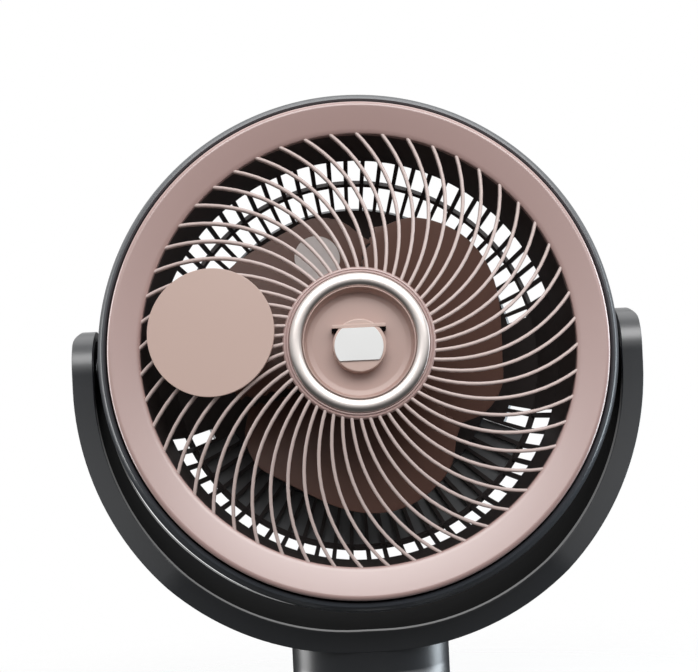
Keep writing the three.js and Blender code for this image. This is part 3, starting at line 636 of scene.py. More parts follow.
# %% Rear housing
SLOTS, PER_SLOT = 72, 4
CLOSED = {"left": 20, "right_up": 12.6, "right_down": 18}  # degrees from the tilt axis
BOWL = [
    (163.2, 64.4), (163.4, 66.4), (164.6, 67.4), (166.0, 67.2), (167.7, 65.0), (169.1, 61),
    (169.9, 55.5), (170.0, 48), (168.8, 40), (166.2, 32), (161.4, 24), (150, 14.6), (143.5, 10.6),
    (140.9, 8.6), (140.1, 6.8), (131.4, -25.2), (131.0, -26.6), (130.1, -28.0), (128.9, -29.0),
    (114.4, -41.2), (108, -46.5), (99, -50.3), (84, -55), (60, -55), (12, -55),
]
STEEP = (BOWL.index((140.1, 6.8)), BOWL.index((131.4, -25.2)))
SHALLOW = (BOWL.index((128.9, -29.0)), BOWL.index((114.4, -41.2)))
LONG = (SHALLOW[0], BOWL.index((99, -50.3)))
WALL = 2.8
BOX_SPREAD = math.radians(65)  # half the angle that the driver's box spans


def from_below(centre):
    """The angle round the spin axis from straight down, either way."""
    return abs((math.atan2(centre.y, centre.x) + 1.5 * math.pi) % (2 * math.pi) - math.pi)


def in_slot(centre):
    """Whether a face lies in one of the slots. Its middle says which row and which segment."""
    turn = math.degrees(math.atan2(centre.y, centre.x)) % 360
    by_right_pod = turn < CLOSED["right_up"] or turn > 360 - CLOSED["right_down"]
    by_left_pod = abs(turn - 180) < CLOSED["left"]
    on_bar = int(turn / 360 * SLOTS * PER_SLOT) % PER_SLOT == 0
    if by_right_pod or by_left_pod or on_bar:
        return False
    height = centre.z / MM
    inner_row = LONG if from_below(centre) < BOX_SPREAD else SHALLOW
    return any(BOWL[start][1] > height > BOWL[end][1] for start, end in (STEEP, inner_row))


def delete_faces(obj, wanted):
    edit(obj)
    bpy.ops.mesh.select_mode(type="FACE")
    bpy.ops.mesh.select_all(action="DESELECT")
    done()
    count = 0
    for polygon in obj.data.polygons:
        polygon.select = wanted(polygon.center)
        count += polygon.select
    bpy.ops.object.mode_set(mode="EDIT")
    bpy.ops.mesh.delete(type="FACE")
    done()
    return count


housing = turned("housing_bowl", BOWL, SLOTS * PER_SLOT, "open")
opened = delete_faces(housing, in_slot)
modify(housing, "SOLIDIFY", thickness=WALL * MM, offset=-1, use_even_offset=True)
only(housing)
bpy.ops.object.shade_smooth_by_angle(angle=math.radians(30))
print("faces taken out for the slots:", opened)

# %% [markdown]
# Two square pods stand on the sides of the bowl and carry the pivots. Each starts as a block with
# its long edges rounded. A turned core, as wide as the middle of the bowl's wall, is taken out of
# both, so that nothing of them shows inside the bowl.

# %% Side pods
POD = {"depth": 60, "height": 76, "corner": 14, "back": 4, "inner": 118, "outer": 166, "keep": 0.62}
CORE = [(0.5, -45.2), (107, -45.2), (127.8, -27.4), (138.8, 10.2), (158.6, 23), (158.6, 90), (0.5, 90)]


def rounded_block(name, size, centre, corner, ease):
    """A block along X whose four long edges have a wide radius and the others a small one."""
    obj = block(name, size, centre, 0)
    edit(obj)
    bpy.ops.mesh.select_all(action="DESELECT")
    done()
    for edge in obj.data.edges:
        a, b = (obj.data.vertices[i].co for i in edge.vertices)
        edge.select = abs(a.x - b.x) > 0.9 * size[0] * MM
    bpy.ops.object.mode_set(mode="EDIT")
    bpy.ops.mesh.select_mode(type="EDGE")
    bpy.ops.mesh.bevel(offset=corner * MM, segments=8, affect="EDGES")
    done()
    if ease:
        modify(obj, "BEVEL", width=ease * MM, segments=3, limit_method="ANGLE", angle_limit=math.radians(50))
    return outward(obj)


def narrowed(obj, side, keep):
    """The end face away from the spin axis is drawn in, so that the block tapers outwards."""
    edit(obj)
    bpy.ops.mesh.select_all(action="DESELECT")
    done()
    end = max(side * vertex.co.x for vertex in obj.data.vertices)
    for vertex in obj.data.vertices:
        vertex.select = side * vertex.co.x > end - 0.1 * MM
    bpy.ops.object.mode_set(mode="EDIT")
    bpy.ops.transform.resize(value=(1, keep, keep), center_override=(0, 0, -POD["back"] * MM))
    done()
    return obj


def pod(side):
    length = POD["outer"] - POD["inner"]
    centre = (side * (POD["inner"] + length / 2), 0, -POD["back"])
    obj = rounded_block("pod", (length, POD["height"], POD["depth"]), centre, POD["corner"], 0)
    return narrowed(obj, side, POD["keep"])


pods = join(pod(-1), pod(1))
boolean(pods, turned("core", CORE, 96, "caps"))
housing = on_head(join(housing, pods))
housing.name = "rear_housing_shell"
housing.data.materials.clear()
for material in (SLATE, INNER_PAINTED_LIGHT):
    housing.data.materials.append(material)


def paint_housing():
    """Outside in slate, inside a warm grey that is painted light."""
    away = Matrix.Rotation(LEAN - math.pi / 2, 4, "X") @ Matrix.Translation(-PIVOT)
    for polygon in housing.data.polygons:
        spot = away @ polygon.center
        facing = away.to_3x3() @ polygon.normal
        radius = math.hypot(spot.x, spot.y) / MM
        radial = (spot.x * facing.x + spot.y * facing.y) * (1 / MM) / radius
        # Faces that look forward into the head get the painted light.
        if facing.z * 0.7 - radial > 0.1 and radius < RING_OUTER:
            polygon.material_index = 1


paint_housing()
hand_over(housing, None, "head", "slate", "rear_housing")

# %% [markdown]
# The motor cover on the back is a low dome with nine vent slots, turned as a skin, opened and then
# given its wall like the bowl. Three round seats stand on its sloping edge, so that the screws'
# heads rest flat. The screws have a cross recess, which a small boolean cuts.

# %% Motor cover and screws
DOME = [
    (77, -55.4), (77, -57.2), (76, -58.8), (72, -63.4), (68, -67.2), (62, -69.8), (46, -75.2),
    (42, -76.2), (28, -77.8), (12, -78.7), (2, -79),
]
DOME_SEGMENTS, DOME_SLOTS = 180, 9
DOME_SLOT = {"inner": 46, "outer": 62, "first": 8, "last": 11}  # first and last count segments
SCREW_CIRCLE, SCREW_ANGLES, SCREW_TOP = 70.0, (90, 210, 330), -70.2
SCREW_SEAT = [(1.8, -57), (5.0, -57), (4.6, -68.2), (1.8, -68.2)]


def at_screw(obj, degrees, height=0.0, rotation=(0, 0, 0)):
    turn = math.radians(degrees)
    x, y = SCREW_CIRCLE * math.cos(turn), SCREW_CIRCLE * math.sin(turn)
    return place(obj, (x * MM, y * MM, height * MM), rotation)


def in_dome_slot(centre):
    radius = math.hypot(centre.x, centre.y) / MM
    part = int((math.atan2(centre.y, centre.x) % (2 * math.pi)) / (2 * math.pi) * DOME_SEGMENTS)
    in_row = DOME_SLOT["inner"] < radius < DOME_SLOT["outer"]
    return in_row and DOME_SLOT["first"] <= part % (DOME_SEGMENTS // DOME_SLOTS) <= DOME_SLOT["last"]


dome = turned("cover_dome", DOME, DOME_SEGMENTS, "open")
edit(dome)
select_open_edges()
done()
for edge in dome.data.edges:
    a = dome.data.vertices[edge.vertices[0]].co
    edge.select = edge.select and math.hypot(a.x, a.y) < 3 * MM
bpy.ops.object.mode_set(mode="EDIT")
bpy.ops.mesh.edge_face_add()
done()
delete_faces(dome, in_dome_slot)
modify(dome, "SOLIDIFY", thickness=2.2 * MM, offset=-1, use_even_offset=True)
outward(dome)
seats = [at_screw(turned("screw_seat", eased(SCREW_SEAT, 0.4), 32), degrees) for degrees in SCREW_ANGLES]
dome = on_head(join(dome, *seats))
dome.name = "motor_cover_dome"
hand_over(dome, SLATE, "head", "slate", "motor_cover")


def screw(name, head, shank, tall, length):
    """A pan-head screw that points down, with the top of its head at the origin."""
    profile = [(0.4, -tall - length), (shank, -tall - length + 0.5), (shank, -tall), (head, -tall)]
    profile += [(head, -0.7 * tall), (0.86 * head, -0.25 * tall), (0.5 * head, -0.02), (0.3, 0)]
    obj = turned(name, profile, 32, "caps")
    for turn in (0, math.pi / 2):
        slot = block("slot", (1.1 * head, 0.3 * head, 1.2), (0, 0, -0.2), 0.1)
        boolean(obj, place(slot, rotation=(0, 0, turn)))
    return outward(obj)


for number, degrees in enumerate(SCREW_ANGLES):
    one = screw(f"cover_screw_head_{number + 1}", head=3.4, shank=1.5, tall=2.0, length=7.0)
    # It points to the front, so it is turned over first.
    on_head(at_screw(one, degrees, SCREW_TOP, (math.pi, 0, 0)))
    hand_over(one, STEEL, "head", "steel", f"cover_screw_{number + 1}")

# %% [markdown]
# The side covers close the pods: a plate with the pod's outline and a round boss that fills most of
# the gap to the yoke.

# %% Side covers
SIDES = ((-1, "left"), (1, "right"))
COVER_BORE = {"left": 12.4, "right": 7}

for side, word in SIDES:
    node = f"side_cover_{word}"
    low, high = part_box(node)
    size = (2.7, POD["keep"] * POD["height"], POD["keep"] * POD["depth"])
    corner = POD["keep"] * POD["corner"]
    cover = rounded_block(f"{node}_plate", size, (side * 167.65, 0, -POD["back"]), corner, 0.8)
    bore = COVER_BORE[word]
    stub = turned("stub", eased([(bore, 168), (17, 168), (17, 176.6), (bore, 176.6)], 0.8), 64)
    place(stub, rotation=(0, side * math.pi / 2, 0))
    cover = on_head(join(cover, stub))
    hand_over(cover, GRAPHITE, "head", "graphite", node)
    print(node, "spans x", round(low.x / MM), "to", round(high.x / MM))

# %% [markdown]
# ## The rotor
# Three wide blades wrap a deep cup. A blade starts as one point at the hub. Extruding it draws the
# leading edge, which sweeps back towards the hub, and extruding that edge round the axis draws the
# blade: it is turned, raised and resized at each step, so that its tip follows the wavy outline of
# the real blade. Both end edges have fine teeth, which quieten such a fan.

# %% Blades
BLADES = 3
BLADE_START, BLADE_SPAN = -37.7, 116.0
BLADE_BACK, BLADE_RISE = 4.0, 38.0
TIPS = [82, 95, 100.5, 98.5, 99.5, 103.5, 107, 107.5, 104, 97, 84]
BLADE_STEPS, EDGE_STEPS = 40, 12
ROOT_SHARE, RAKE = 0.42, 17.0
TEETH_FROM, TOOTH = 48.0, 2.0


def tip_radius(share):
    """The outline between the listed radii, as a smooth curve through them."""
    along = min(max(share, 0), 1) * (len(TIPS) - 1)
    low = min(int(along), len(TIPS) - 2)
    t = along - low
    before, after = TIPS[max(low - 1, 0)], TIPS[min(low + 2, len(TIPS) - 1)]
    a, b = TIPS[low], TIPS[low + 1]
    curve = 2 * a + (b - before) * t + (2 * before - 5 * a + 4 * b - after) * t * t
    return (curve + (3 * a - before - 3 * b + after) * t**3) / 2


def edge_point(step):
    share = ROOT_SHARE + (1 - ROOT_SHARE) * step / EDGE_STEPS
    rake = RAKE * (1 - share)
    turn = math.radians(BLADE_START + rake)
    radius = tip_radius(0) * share
    height = BLADE_BACK + BLADE_RISE * rake / BLADE_SPAN
    return Vector((radius * math.cos(turn), radius * math.sin(turn), height)) * MM


def turn_selected(degrees):
    bpy.ops.transform.rotate(value=-math.radians(degrees), orient_axis="Z", center_override=(0, 0, 0))


def drawn_line(name, points):
    """A line of edges, drawn point by point from one vertex."""
    bpy.ops.object.select_all(action="DESELECT")
    bpy.ops.mesh.primitive_plane_add(size=MM, location=points[0])
    obj = bpy.context.object
    obj.name = name
    place(obj)
    edit(obj)
    bpy.ops.mesh.merge(type="CENTER")
    for a, b in zip(points, points[1:]):
        bpy.ops.mesh.extrude_vertices_move(TRANSFORM_OT_translate={"value": b - a})
    done()
    return obj


def pull_teeth(obj):
    """Every second point of both end edges is turned a little further out."""
    for sign, start in ((-1, BLADE_START), (1, BLADE_START + BLADE_SPAN)):
        row = []
        for vertex in obj.data.vertices:
            radius = math.hypot(vertex.co.x, vertex.co.y)
            rake = RAKE * (1 - radius / MM / tip_radius(0 if sign < 0 else 1))
            turn = math.degrees(math.atan2(vertex.co.y, vertex.co.x))
            if abs(turn - start - rake) < 0.4 and radius > TEETH_FROM * MM:
                row.append((radius, vertex.index))
        picked = {index for _, index in sorted(row)[::2]}
        edit(obj)
        bpy.ops.mesh.select_mode(type="VERT")
        bpy.ops.mesh.select_all(action="DESELECT")
        done()
        for vertex in obj.data.vertices:
            vertex.select = vertex.index in picked
        bpy.ops.object.mode_set(mode="EDIT")
        turn_selected(sign * TOOTH)
        done()
        print(len(picked), "teeth on one edge")


def blade():
    obj = drawn_line("blade", [edge_point(step) for step in range(EDGE_STEPS + 1)])
    edit(obj)
    for step in range(BLADE_STEPS):
        rise = (0, 0, BLADE_RISE / BLADE_STEPS * MM)
        bpy.ops.mesh.extrude_edges_move(TRANSFORM_OT_translate={"value": rise})
        turn_selected(BLADE_SPAN / BLADE_STEPS)
        grow = tip_radius((step + 1) / BLADE_STEPS) / tip_radius(step / BLADE_STEPS)
        bpy.ops.transform.resize(value=(grow, grow, 1), center_override=(0, 0, 0))
    done()
    pull_teeth(obj)
    edit(obj)
    bpy.ops.mesh.normals_make_consistent(inside=False)
    done()
    modify(obj, "SOLIDIFY", thickness=2.2 * MM, offset=0, use_even_offset=True)
    modify(obj, "BEVEL", width=0.6 * MM, segments=2, limit_method="ANGLE", angle_limit=math.radians(50))
    return outward(obj)


one_blade = blade()
print("one blade", len(one_blade.data.polygons), "faces")

# %% [markdown]
# The blades grow out of a turned cup with a bore for the shaft, and a round nut holds it. The label
# starts as a flat disc with many rings of faces. It is dropped onto a blade by a shrinkwrap, so it
# takes the blade's twist as a real sticker does, and then gets a paper's thickness.

# %% Cup, nut and label
CUP = [
    (4.3, 46), (40, 46), (44, 42), (44, -38), (41.5, -38), (41.5, 41), (39, 43.2), (9, 43.2),
    (8, 8), (4.3, 8),
]
LABEL_RADIUS, LABEL_OUT, LABEL_AT = 15.5, 73.0, math.radians(109.5)
cup = turned("rotor_cup", eased(CUP, 1.0, 4), 96)
rotor = join(cup, *copies(one_blade, BLADES))
rotor.name = "rotor_blades"

bpy.ops.object.select_all(action="DESELECT")
bpy.ops.mesh.primitive_circle_add(vertices=64, radius=LABEL_RADIUS * MM, fill_type="NGON")
label = bpy.context.object
label.name = "blade_label"
edit(label)
for _ in range(7):
    bpy.ops.mesh.inset(thickness=2 * MM, depth=0)
done()
above_blade = (LABEL_OUT * MM * math.cos(LABEL_AT), LABEL_OUT * MM * math.sin(LABEL_AT), 90 * MM)
place(label, above_blade)
modify(
    label, "SHRINKWRAP", target=rotor, wrap_method="PROJECT", wrap_mode="ABOVE_SURFACE", offset=0.35 * MM,
    use_project_z=True, use_negative_direction=True, use_positive_direction=False,
)
modify(label, "SOLIDIFY", thickness=0.25 * MM, offset=0)
on_head(outward(label))
# The label's darker paper tint is painted shade.
hand_over(label, PAPER_SHADED, "fan", "pearl", "blade_sticker")
on_head(rotor)
hand_over(rotor, BROWN, "fan", "brown", "fan_rotor")

NUT = [(0.5, 60), (5, 59.8), (8, 59), (12, 54), (13, 46.4), (4.3, 46.4)]
nut = turned("rotor_cap_nut", eased(NUT, 0.8, 3, False), 48, "caps")
on_head(nut)
hand_over(nut, BROWN, "fan", "brown", "rotor_nut")

# %% [markdown]
# ## The yoke
# The yoke is one wide flat band bent into a U. Its square section is extruded down one arm, round the
# bottom and up the other, turning with the bend and growing deeper towards the bottom. The arm ends
# are drawn in step by step to a half round, and their outer corners roll over.

# %% Yoke band
YOKE = {"half": 192.0, "thick": 14.0, "arc": 183.0, "drop": 194.0, "end": 26.6, "depth": 84.0}
ARM_STEPS, BEND_STEPS, END_STEPS = 5, 40, 12
SHOULDER, WIDEST = -70.0, -140.0


def half_depth(level):
    """Half the band's depth at a height from the tilt axis: a curve that widens downwards."""
    if level >= 0:
        return YOKE["end"]
    if level <= WIDEST:
        return YOKE["depth"] / 2
    low, high = 0.0, 1.0
    for _ in range(30):
        t = (low + high) / 2
        if 2 * SHOULDER * t * (1 - t) + WIDEST * t * t > level:
            low = t
        else:
            high = t
    return YOKE["end"] * (1 - t * t) + YOKE["depth"] / 2 * t * t


def yoke_sections(inset, thick, margin=0.0):
    """Sections (x, z, heading, half depth, thickness) from the top of the right arm to the left's."""
    middle = inset + thick / 2
    arm = YOKE["half"] - middle
    centre_x, level = YOKE["half"] - YOKE["arc"], YOKE["arc"] - YOKE["drop"]
    end = YOKE["end"] - margin
    sections = []
    for step in range(END_STEPS):
        turn = math.radians(86 * (1 - step / END_STEPS))
        height = end * math.sin(turn)
        rolled = max(0.0, (height - 18) / (end - 18)) ** 2.5 * 5.0
        cut = min(rolled, thick - 5) if inset == 0 else 0
        sections.append((arm - cut / 2, height, 0.0, end * math.cos(turn), thick - cut))
    for step in range(ARM_STEPS):
        height = level * step / ARM_STEPS
        sections.append((arm, height, 0.0, half_depth(height) - margin, thick))
    for step in range(BEND_STEPS + 1):
        turn = math.pi / 2 * step / BEND_STEPS
        radius = YOKE["arc"] - middle
        x, z = centre_x + radius * math.cos(turn), level - radius * math.sin(turn)
        sections.append((x, z, turn, half_depth(z) - margin, thick))
    mirrored = [(-x, z, math.pi - turn, half, t) for x, z, turn, half, t in reversed(sections)]
    return sections + mirrored


def band(name, sections, rounding):
    x, z, heading, half, thick = sections[0]
    bpy.ops.object.select_all(action="DESELECT")
    bpy.ops.mesh.primitive_plane_add(size=MM)
    obj = bpy.context.object
    obj.name = name
    obj.scale = (thick, 2 * half, 1)
    place(obj, (x * MM, 0, z * MM), (0, heading, 0))
    edit(obj)
    for next_x, next_z, next_heading, next_half, next_thick in sections[1:]:
        step = ((next_x - x) * MM, 0, (next_z - z) * MM)
        bpy.ops.mesh.extrude_region_move(TRANSFORM_OT_translate={"value": step})
        at = (next_x * MM, 0, next_z * MM)
        bpy.ops.transform.resize(value=(1, next_half / half, 1), center_override=at)
        if abs(next_thick - thick) > 1e-6:
            bpy.ops.transform.resize(value=(next_thick / thick, 1, 1), center_override=at)
        if abs(next_heading - heading) > 1e-6:
            turn = heading - next_heading
            bpy.ops.transform.rotate(value=turn, orient_axis="Y", center_override=at)
        x, z, heading, half, thick = next_x, next_z, next_heading, next_half, next_thick
    done()
    outward(obj)
    if rounding:
        modify(
            obj, "BEVEL", width=rounding * MM, segments=4, limit_method="ANGLE", angle_limit=math.radians(42)
        )
    return outward(obj, 35)


yoke = band("yoke_band", yoke_sections(0, YOKE["thick"]), 2.2)
print("yoke", len(yoke.data.polygons), "faces", [round(side, 3) for side in yoke.dimensions])

# %% [markdown]
# The neck under the band is turned and united with it. It is as slim as the band where they meet,
# and flares to the round column, so its rings are narrowed one by one. The liner's bed is taken out
# of the inner face, and a round seat for a cap out of each arm. The liner itself is a thin dark
# strip in its bed.

# %% Neck, liner and caps
NECK_SLIM, NECK_FLARE = 0.77, (-208, -223)
NECK = [(0.5, -183.5), (52, -183.5), (54, -186)]
NECK += [(54, NECK_FLARE[0] - 1.6 * step) for step in range(11)]
NECK += [(52.6, -225), (0.5, -225)]
LINER_BED = 6.2
CAP_SEAT = [(16.3, 190.2), (16.3, 196)]
PIVOT_CAP = [(0.5, 190.5), (16, 190.5), (16, 192), (0.5, 192)]


def slim(obj, level_factor):
    """Every ring of the piece is narrowed from front to back by a factor that goes with its height."""
    levels = sorted({round(vertex.co.z / MM, 2) for vertex in obj.data.vertices})
    for level in levels:
        factor = level_factor(level)
        edit(obj)
        bpy.ops.mesh.select_all(action="DESELECT")
        done()
        for vertex in obj.data.vertices:
            vertex.select = abs(vertex.co.z / MM - level) < 0.02
        bpy.ops.object.mode_set(mode="EDIT")
        bpy.ops.transform.resize(value=(1, factor, 1), center_override=(0, 0, 0))
        done()
    return obj


def neck_factor(level):
    t = min(max((NECK_FLARE[0] - level) / (NECK_FLARE[0] - NECK_FLARE[1]), 0), 1)
    return NECK_SLIM + (1 - NECK_SLIM) * t * t * (3 - 2 * t)


neck = outward(slim(turned("yoke_neck", NECK, 128, "caps"), neck_factor))
boolean(yoke, neck, "UNION")
boolean(yoke, band("bed", yoke_sections(10.9, 5.0, LINER_BED), 0))
for side, word in SIDES:
    seat = turned("seat", CAP_SEAT, 64, "caps")
    boolean(yoke, place(seat, rotation=(0, side * math.pi / 2, 0)))
    cap = turned(f"pivot_cap_{word}_disc", eased(PIVOT_CAP, 0.6, 3, closed=False), 64, "caps")
    place(cap, PIVOT, (0, side * math.pi / 2, 0))
    hand_over(cap, GRAPHITE, "yoke", "graphite", f"pivot_cap_{word}")
place(outward(yoke, 35), PIVOT)
hand_over(yoke, GRAPHITE, "yoke", "graphite", "yoke_frame")

liner = band("yoke_inner_strip", yoke_sections(11.0, 2.9, 6.5), 0.6)
for side in (-1, 1):
    hole = turned("hole", [(9.5, 170), (9.5, 195)], 48, "caps")
    boolean(liner, place(hole, rotation=(0, side * math.pi / 2, 0)))
place(outward(liner, 35), PIVOT)
hand_over(liner, BLACK, "yoke", "black", "yoke_liner")

# %% [markdown]
# ## The driver's box
# Behind the lower vents a curved box holds the fan's driver board, so the slots there show dark grey instead
# of the light behind. It is a slice of a turned box, with its two ends closed. Its front faces, which the
# slots show, get a lighter grey that is painted light, and the rest is slate like the housing.

# %% Driver's box
BOX_OUTLINE = [
    (84, -55.4), (98.2, -52.5), (110.3, -45.6), (127.5, -31.4), (129, -36), (125, -56), (113, -64),
    (84, -64),
]


def outside_box(centre):
    return from_below(centre) > BOX_SPREAD


driver = turned("driver_box_shell", eased(BOX_OUTLINE, 1.2), 144)
delete_faces(driver, outside_box)
edit(driver)
bpy.ops.mesh.fill_holes(sides=0)
done()
outward(driver)
driver.data.materials.append(SLATE)
driver.data.materials.append(BOX_FACE_PAINTED_LIGHT)
# Faces turned to the front get the lighter grey, which is painted light.
for polygon in driver.data.polygons:
    polygon.material_index = 1 if polygon.normal.z > 0.4 else 0
on_head(driver)
hand_over(driver, None, "head", "slate", "driver_box")

# %% [markdown]
# ## Column and base
# A slim column flares into the base. It is turned as a hollow shell, and the hole for the small
# dark window of the remote control's receiver is taken out of its front.

# %% Column
COLUMN = [
    (54, 149.4), (54.6, 105), (56.4, 70), (60.5, 46), (63.5, 39), (67, 34.4), (62, 34.4), (57, 47),
    (53.2, 72), (51, 133.5), (51, 149.4),
]
LENS = [(0.4, 53), (4.5, 53), (4.5, 56.4), (2.5, 56.6), (0.4, 56.6)]
IR_HEIGHT = 72

column = turned("column_shell", eased(COLUMN, 0.8), 128)
lens_hole = turned("hole", [(4.8, 30), (4.8, 80)], 48, "caps")
boolean(column, place(lens_hole, (0, 0, IR_HEIGHT * MM), (math.pi / 2, 0, 0)))
hand_over(outward(column), GRAPHITE, "base", "graphite", "column_housing")
lens = turned("remote_window", eased(LENS, 0.3, 3, closed=False), 48, "caps")
place(lens, (0, 0, IR_HEIGHT * MM), (math.pi / 2, 0, 0))
hand_over(lens, GLOSS, "base", "gloss_black", "ir_window")

# %% [markdown]
# The base's cover is a low round shell with five buttons and a dark display window at the front,
# and a power inlet at the back. It is turned, and the openings are taken out of it. A flat plate
# closes it from below.

# %% Base cover
COVER = [
    (45, 34), (116, 34), (122, 32.4), (126, 29), (129, 23), (129.8, 18), (129.4, 8.6), (127, 8.6),
    (127.4, 17.6), (123.8, 26.8), (115, 31.2), (45, 31.2),
]
BASE_FLOOR = [(0.5, 5.3), (129, 5.3), (129, 8.3), (0.5, 8.3)]
BUTTONS = {"tilt": 246, "timer": 258, "power": 270, "speed": 282, "swing": 294}
BUTTON_CIRCLE, BUTTON_RADIUS = 98.0, 6.5
DISPLAY = {"y": -79.0, "width": 46.0, "depth": 13.0, "corner": 3.5}
INLET = {"height": 18.0, "mouth": 6.0}


def on_base(radius, degrees, height=0.0):
    turn = math.radians(degrees)
    return Vector((radius * math.cos(turn), radius * math.sin(turn), height)) * MM


def display_block(margin, low, high, ease):
    size = (high - low, DISPLAY["depth"] + 2 * margin, DISPLAY["width"] + 2 * margin)
    obj = rounded_block("display", size, (0, 0, 0), DISPLAY["corner"] + margin, ease)
    middle = (low + high) / 2
    return place(obj, (0, DISPLAY["y"] * MM, middle * MM), (0, math.pi / 2, 0))


cover = turned("base_shell", eased(COVER, 1.0), 160)
for degrees in BUTTONS.values():
    hole = turned("hole", [(BUTTON_RADIUS + 0.4, 28), (BUTTON_RADIUS + 0.4, 40)], 48, "caps")
    boolean(cover, place(hole, on_base(BUTTON_CIRCLE, degrees)))
boolean(cover, display_block(0.3, 32.4, 40, 0))
mouth = turned("mouth", [(INLET["mouth"], 118), (INLET["mouth"], 140)], 48, "caps")
boolean(cover, place(mouth, (0, 0, INLET["height"] * MM), (-math.pi / 2, 0, 0)))
hand_over(outward(cover), GRAPHITE, "base", "graphite", "base_cover")

display = display_block(0, 32.7, 34, 0.3)
display.name = "display_glass"
hand_over(display, GLOSS, "base", "gloss_black", "display_window")

base_floor = turned("base_floor", eased(BASE_FLOOR, 0.8, 3, closed=False), 128, "caps")
hand_over(base_floor, BLACK, "base", "black", "base_plate")

# %% [markdown]
# A button cap is a turned disc with a shallow finger dish and a flange that keeps it in its hole.
# It is made once for each button, at the button's own place. The inlet is a socket with a pin in it,
# and each rubber foot is a disc with a soft edge.

# %% Buttons, inlet and feet
CAP = [(0.4, 29.3), (7.6, 29.3), (7.6, 30.8), (6.5, 30.8), (6.5, 35.2), (4.6, 35.3), (3, 34.8), (0.4, 34.6)]
for name, degrees in BUTTONS.items():
    button = turned(f"{name}_button_cap", eased(CAP, 0.5, 3, False), 48, "caps")
    place(button, on_base(BUTTON_CIRCLE, degrees))
    hand_over(button, GLOSS, f"button_{name}", "gloss_black", f"button_{name}")

SOCKET = [(3.2, 123.4), (5.4, 123.4), (5.4, 110.4), (0.4, 110.4)]
SOCKET_FLOOR = [(0.4, 114.4), (3.2, 114.4)]
PIN = [(0.3, 113.5), (1.1, 113.5), (1.1, 122.4), (0.3, 122.6)]
inlet = turned("inlet_socket", eased(SOCKET, 0.4, 3, closed=False) + SOCKET_FLOOR, 48)
pin = turned("inlet_pin", eased(PIN, 0.3, 3, closed=False), 24, "caps")
inlet = place(join(inlet, pin), (0, 0, INLET["height"] * MM), (-math.pi / 2, 0, 0))
body = block("inlet_block", (13.6, 8, 11), (0, 114.4, 17), 0.6)
inlet = join(inlet, body)
hand_over(inlet, BLACK, "base", "black", "power_inlet")

FOOT = [(0.5, 0.05), (9, 0.05), (10.6, 0.4), (11, 1.4), (11, 5), (0.5, 5)]
FOOT_CIRCLE = 105
for number, degrees in enumerate((45, 135, 225, 315)):
    foot = turned(f"foot_{number + 1}", eased(FOOT, 0.4, 3, False), 48, "caps")
    place(foot, on_base(FOOT_CIRCLE, degrees))
    hand_over(foot, RUBBER, "base", "rubber", f"rubber_foot_{number + 1}")

# %% [markdown]
# ## What stays from the CAD
# The motor, the gears and the other inner pieces hardly show, so their CAD meshes stay, and only
# get their finishes.

# %% Inner pieces
INNER_FINISHES = {
    STEEL: [
        "tilt_motor", "motor_base", "bearing_front", "bearing_rear", "grille_lock_screw", "rotor_can",
        "pivot_pin", "tilt_shaft", "swing_spindle", "retaining_ring", "swing_motor", "bearing_plate",
        "ballast_plate",
    ],
    SHAFT: ["motor_shaft"],
    COPPER: ["stator"],
    FERRITE: ["magnet_ring"],
    BOARD: ["driver_board", "control_board"],
    NYLON: ["pivot_bush", "swing_gear", "swing_pinion", "swing_washer"],
}
for material, names in INNER_FINISHES.items():
    for name in names:
        mesh = frame["nodes"][name].data
        mesh.materials.clear()
        mesh.materials.append(material)
print(sum(len(names) for names in INNER_FINISHES.values()), "inner pieces finished")

# %% [markdown]
# ## Floor and light
# The floor is a pale disc that fades into the white behind, so it keeps the fan's soft shadow and
# has no edge. To everything but the camera it is dark, because in the photograph the undersides of
# the yoke and the rim mirror a dark floor.

# %% Floor
FLOOR_RADIUS = 2.0


def floor_finish():
    finish = Finish("studio_floor")
    here = finish.here()
    away = finish.add("VectorMath", {"operation": "LENGTH"}, {0: here}, out=1)
    fade = finish.add(
        "MapRange", {"interpolation_type": "SMOOTHSTEP"}, {"Value": away, "From Min": 0.35, "From Max": 1.0}
    )
    speck = finish.noise(400.0)
    tint = finish.mix((0.86, 0.86, 0.86, 1), (0.83, 0.83, 0.83, 1), speck)
    seen = finish.add("LightPath", out=0)
    paint = finish.add("BsdfDiffuse", None, {"Color": finish.mix((0.06, 0.06, 0.06, 1), tint, seen)})
    clear = finish.add("BsdfTransparent")
    finish.add_output(finish.add("MixShader", None, {0: fade, 1: paint, 2: clear}))
    return finish.material


bpy.ops.object.select_all(action="DESELECT")
bpy.ops.mesh.primitive_circle_add(vertices=96, radius=FLOOR_RADIUS, fill_type="NGON")
floor = bpy.context.object
floor.name = "studio_floor"
floor.data.materials.append(floor_finish())
print("floor", [round(side, 2) for side in floor.dimensions])

# %% [markdown]
# The big key softbox hangs in front and above, where the ring's lower half mirrors it, so the ring
# is brightest there, as in the photograph. A weak one overhead lights the rim's top. Two upright
# ones draw the light edges down the yoke's sides, and the right one is slightly blue.

# %% Lamps
def softbox(name, location, size, power, tint=(1, 1, 1)):
    bpy.ops.object.select_all(action="DESELECT")
    bpy.ops.object.light_add(type="AREA", location=location)
    lamp = bpy.context.object
    lamp.name = name
    lamp.data.shape = "RECTANGLE"
    lamp.data.size, lamp.data.size_y = size
    lamp.data.energy = power
    lamp.data.color = tint
    lamp.rotation_euler = (PIVOT - Vector(location)).to_track_quat("-Z", "Y").to_euler()
    return lamp


softbox("key", (0.15, -1.35, 1.5), (1.6, 0.9), 18)
softbox("overhead", (0, 0.35, 1.7), (1.6, 1.0), 4)
softbox("left_side", (-1.35, 0.2, 0.4), (0.6, 1.2), 9)
softbox("right_side", (1.35, 0.2, 0.4), (0.6, 1.2), 14, (0.84, 0.93, 1.0))

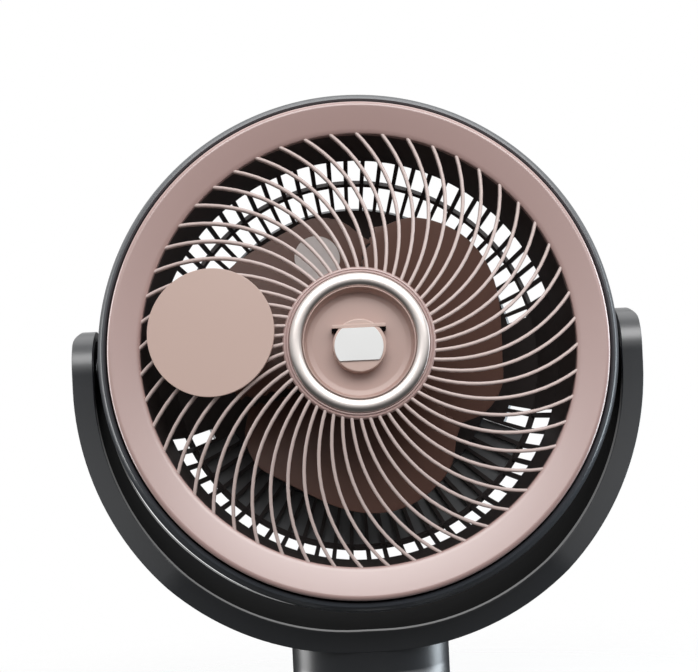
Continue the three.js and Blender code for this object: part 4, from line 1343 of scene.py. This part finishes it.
# %% [markdown]
# The world is plain white to the camera, as the studio's background is. To everything else it is
# dark below the horizon and a light grey above it, which gives the dark paint its soft gradients.

# %% World
HORIZON = {"From Min": -0.05, "From Max": 0.3, "To Min": 0.02, "To Max": 0.72}


def studio_world():
    world = bpy.data.worlds.new("studio")
    bpy.context.scene.world = world
    world.use_nodes = True
    nodes, links = world.node_tree.nodes, world.node_tree.links
    nodes.clear()
    seen = nodes.new("ShaderNodeBackground")
    lit = nodes.new("ShaderNodeBackground")
    ray = nodes.new("ShaderNodeLightPath")
    mix = nodes.new("ShaderNodeMixShader")
    where = nodes.new("ShaderNodeTexCoord")
    split = nodes.new("ShaderNodeSeparateXYZ")
    ramp = nodes.new("ShaderNodeMapRange")
    end = nodes.new("ShaderNodeOutputWorld")
    for key, value in HORIZON.items():
        ramp.inputs[key].default_value = value
    links.new(where.outputs["Generated"], split.inputs[0])
    links.new(split.outputs["Z"], ramp.inputs["Value"])
    links.new(ramp.outputs[0], lit.inputs["Strength"])
    links.new(ray.outputs["Is Camera Ray"], mix.inputs[0])
    links.new(lit.outputs[0], mix.inputs[1])
    links.new(seen.outputs[0], mix.inputs[2])
    links.new(mix.outputs[0], end.inputs["Surface"])
    for background in (seen, lit):
        background.inputs["Color"].default_value = (1, 1, 1, 1)


studio_world()

# %% [markdown]
# ## Camera
# The photograph was taken from about a metre away, almost level with the fan, a touch above it and
# to its left, with the fan leaning a little in the picture.

# %% Camera
VIEW = {"distance": 1.035, "left": 1.3, "above": 1.3, "roll": 2.65, "focal_px": 1501, "width_px": 698}
PIVOT_IN_PICTURE = (8.15, -22.4)  # pixels right of and above the picture's middle


def photo_camera():
    left, above, roll = (math.radians(VIEW[key]) for key in ("left", "above", "roll"))
    towards = Vector((math.sin(left) * math.cos(above), math.cos(left) * math.cos(above), -math.sin(above)))
    right = towards.cross(Vector((0, 0, 1))).normalized()
    up = right.cross(towards)
    right, up = math.cos(roll) * right - math.sin(roll) * up, math.sin(roll) * right + math.cos(roll) * up
    place_at = PIVOT - VIEW["distance"] * towards
    pixel = VIEW["distance"] / VIEW["focal_px"]
    aim = PIVOT - right * PIVOT_IN_PICTURE[0] * pixel - up * PIVOT_IN_PICTURE[1] * pixel
    look = (aim - place_at).normalized()
    right = (right - look * right.dot(look)).normalized()
    up = right.cross(look)
    bpy.ops.object.select_all(action="DESELECT")
    bpy.ops.object.camera_add(location=place_at)
    camera = bpy.context.object
    camera.name = "photo_camera"
    camera.data.lens = camera.data.sensor_width * VIEW["focal_px"] / VIEW["width_px"]
    camera.rotation_euler = Matrix((right, up, -look)).transposed().to_euler()
    return camera


bpy.context.scene.camera = photo_camera()
bpy.context.scene.view_settings.view_transform = "Standard"
print("lens", round(bpy.context.scene.camera.data.lens, 1), "mm")
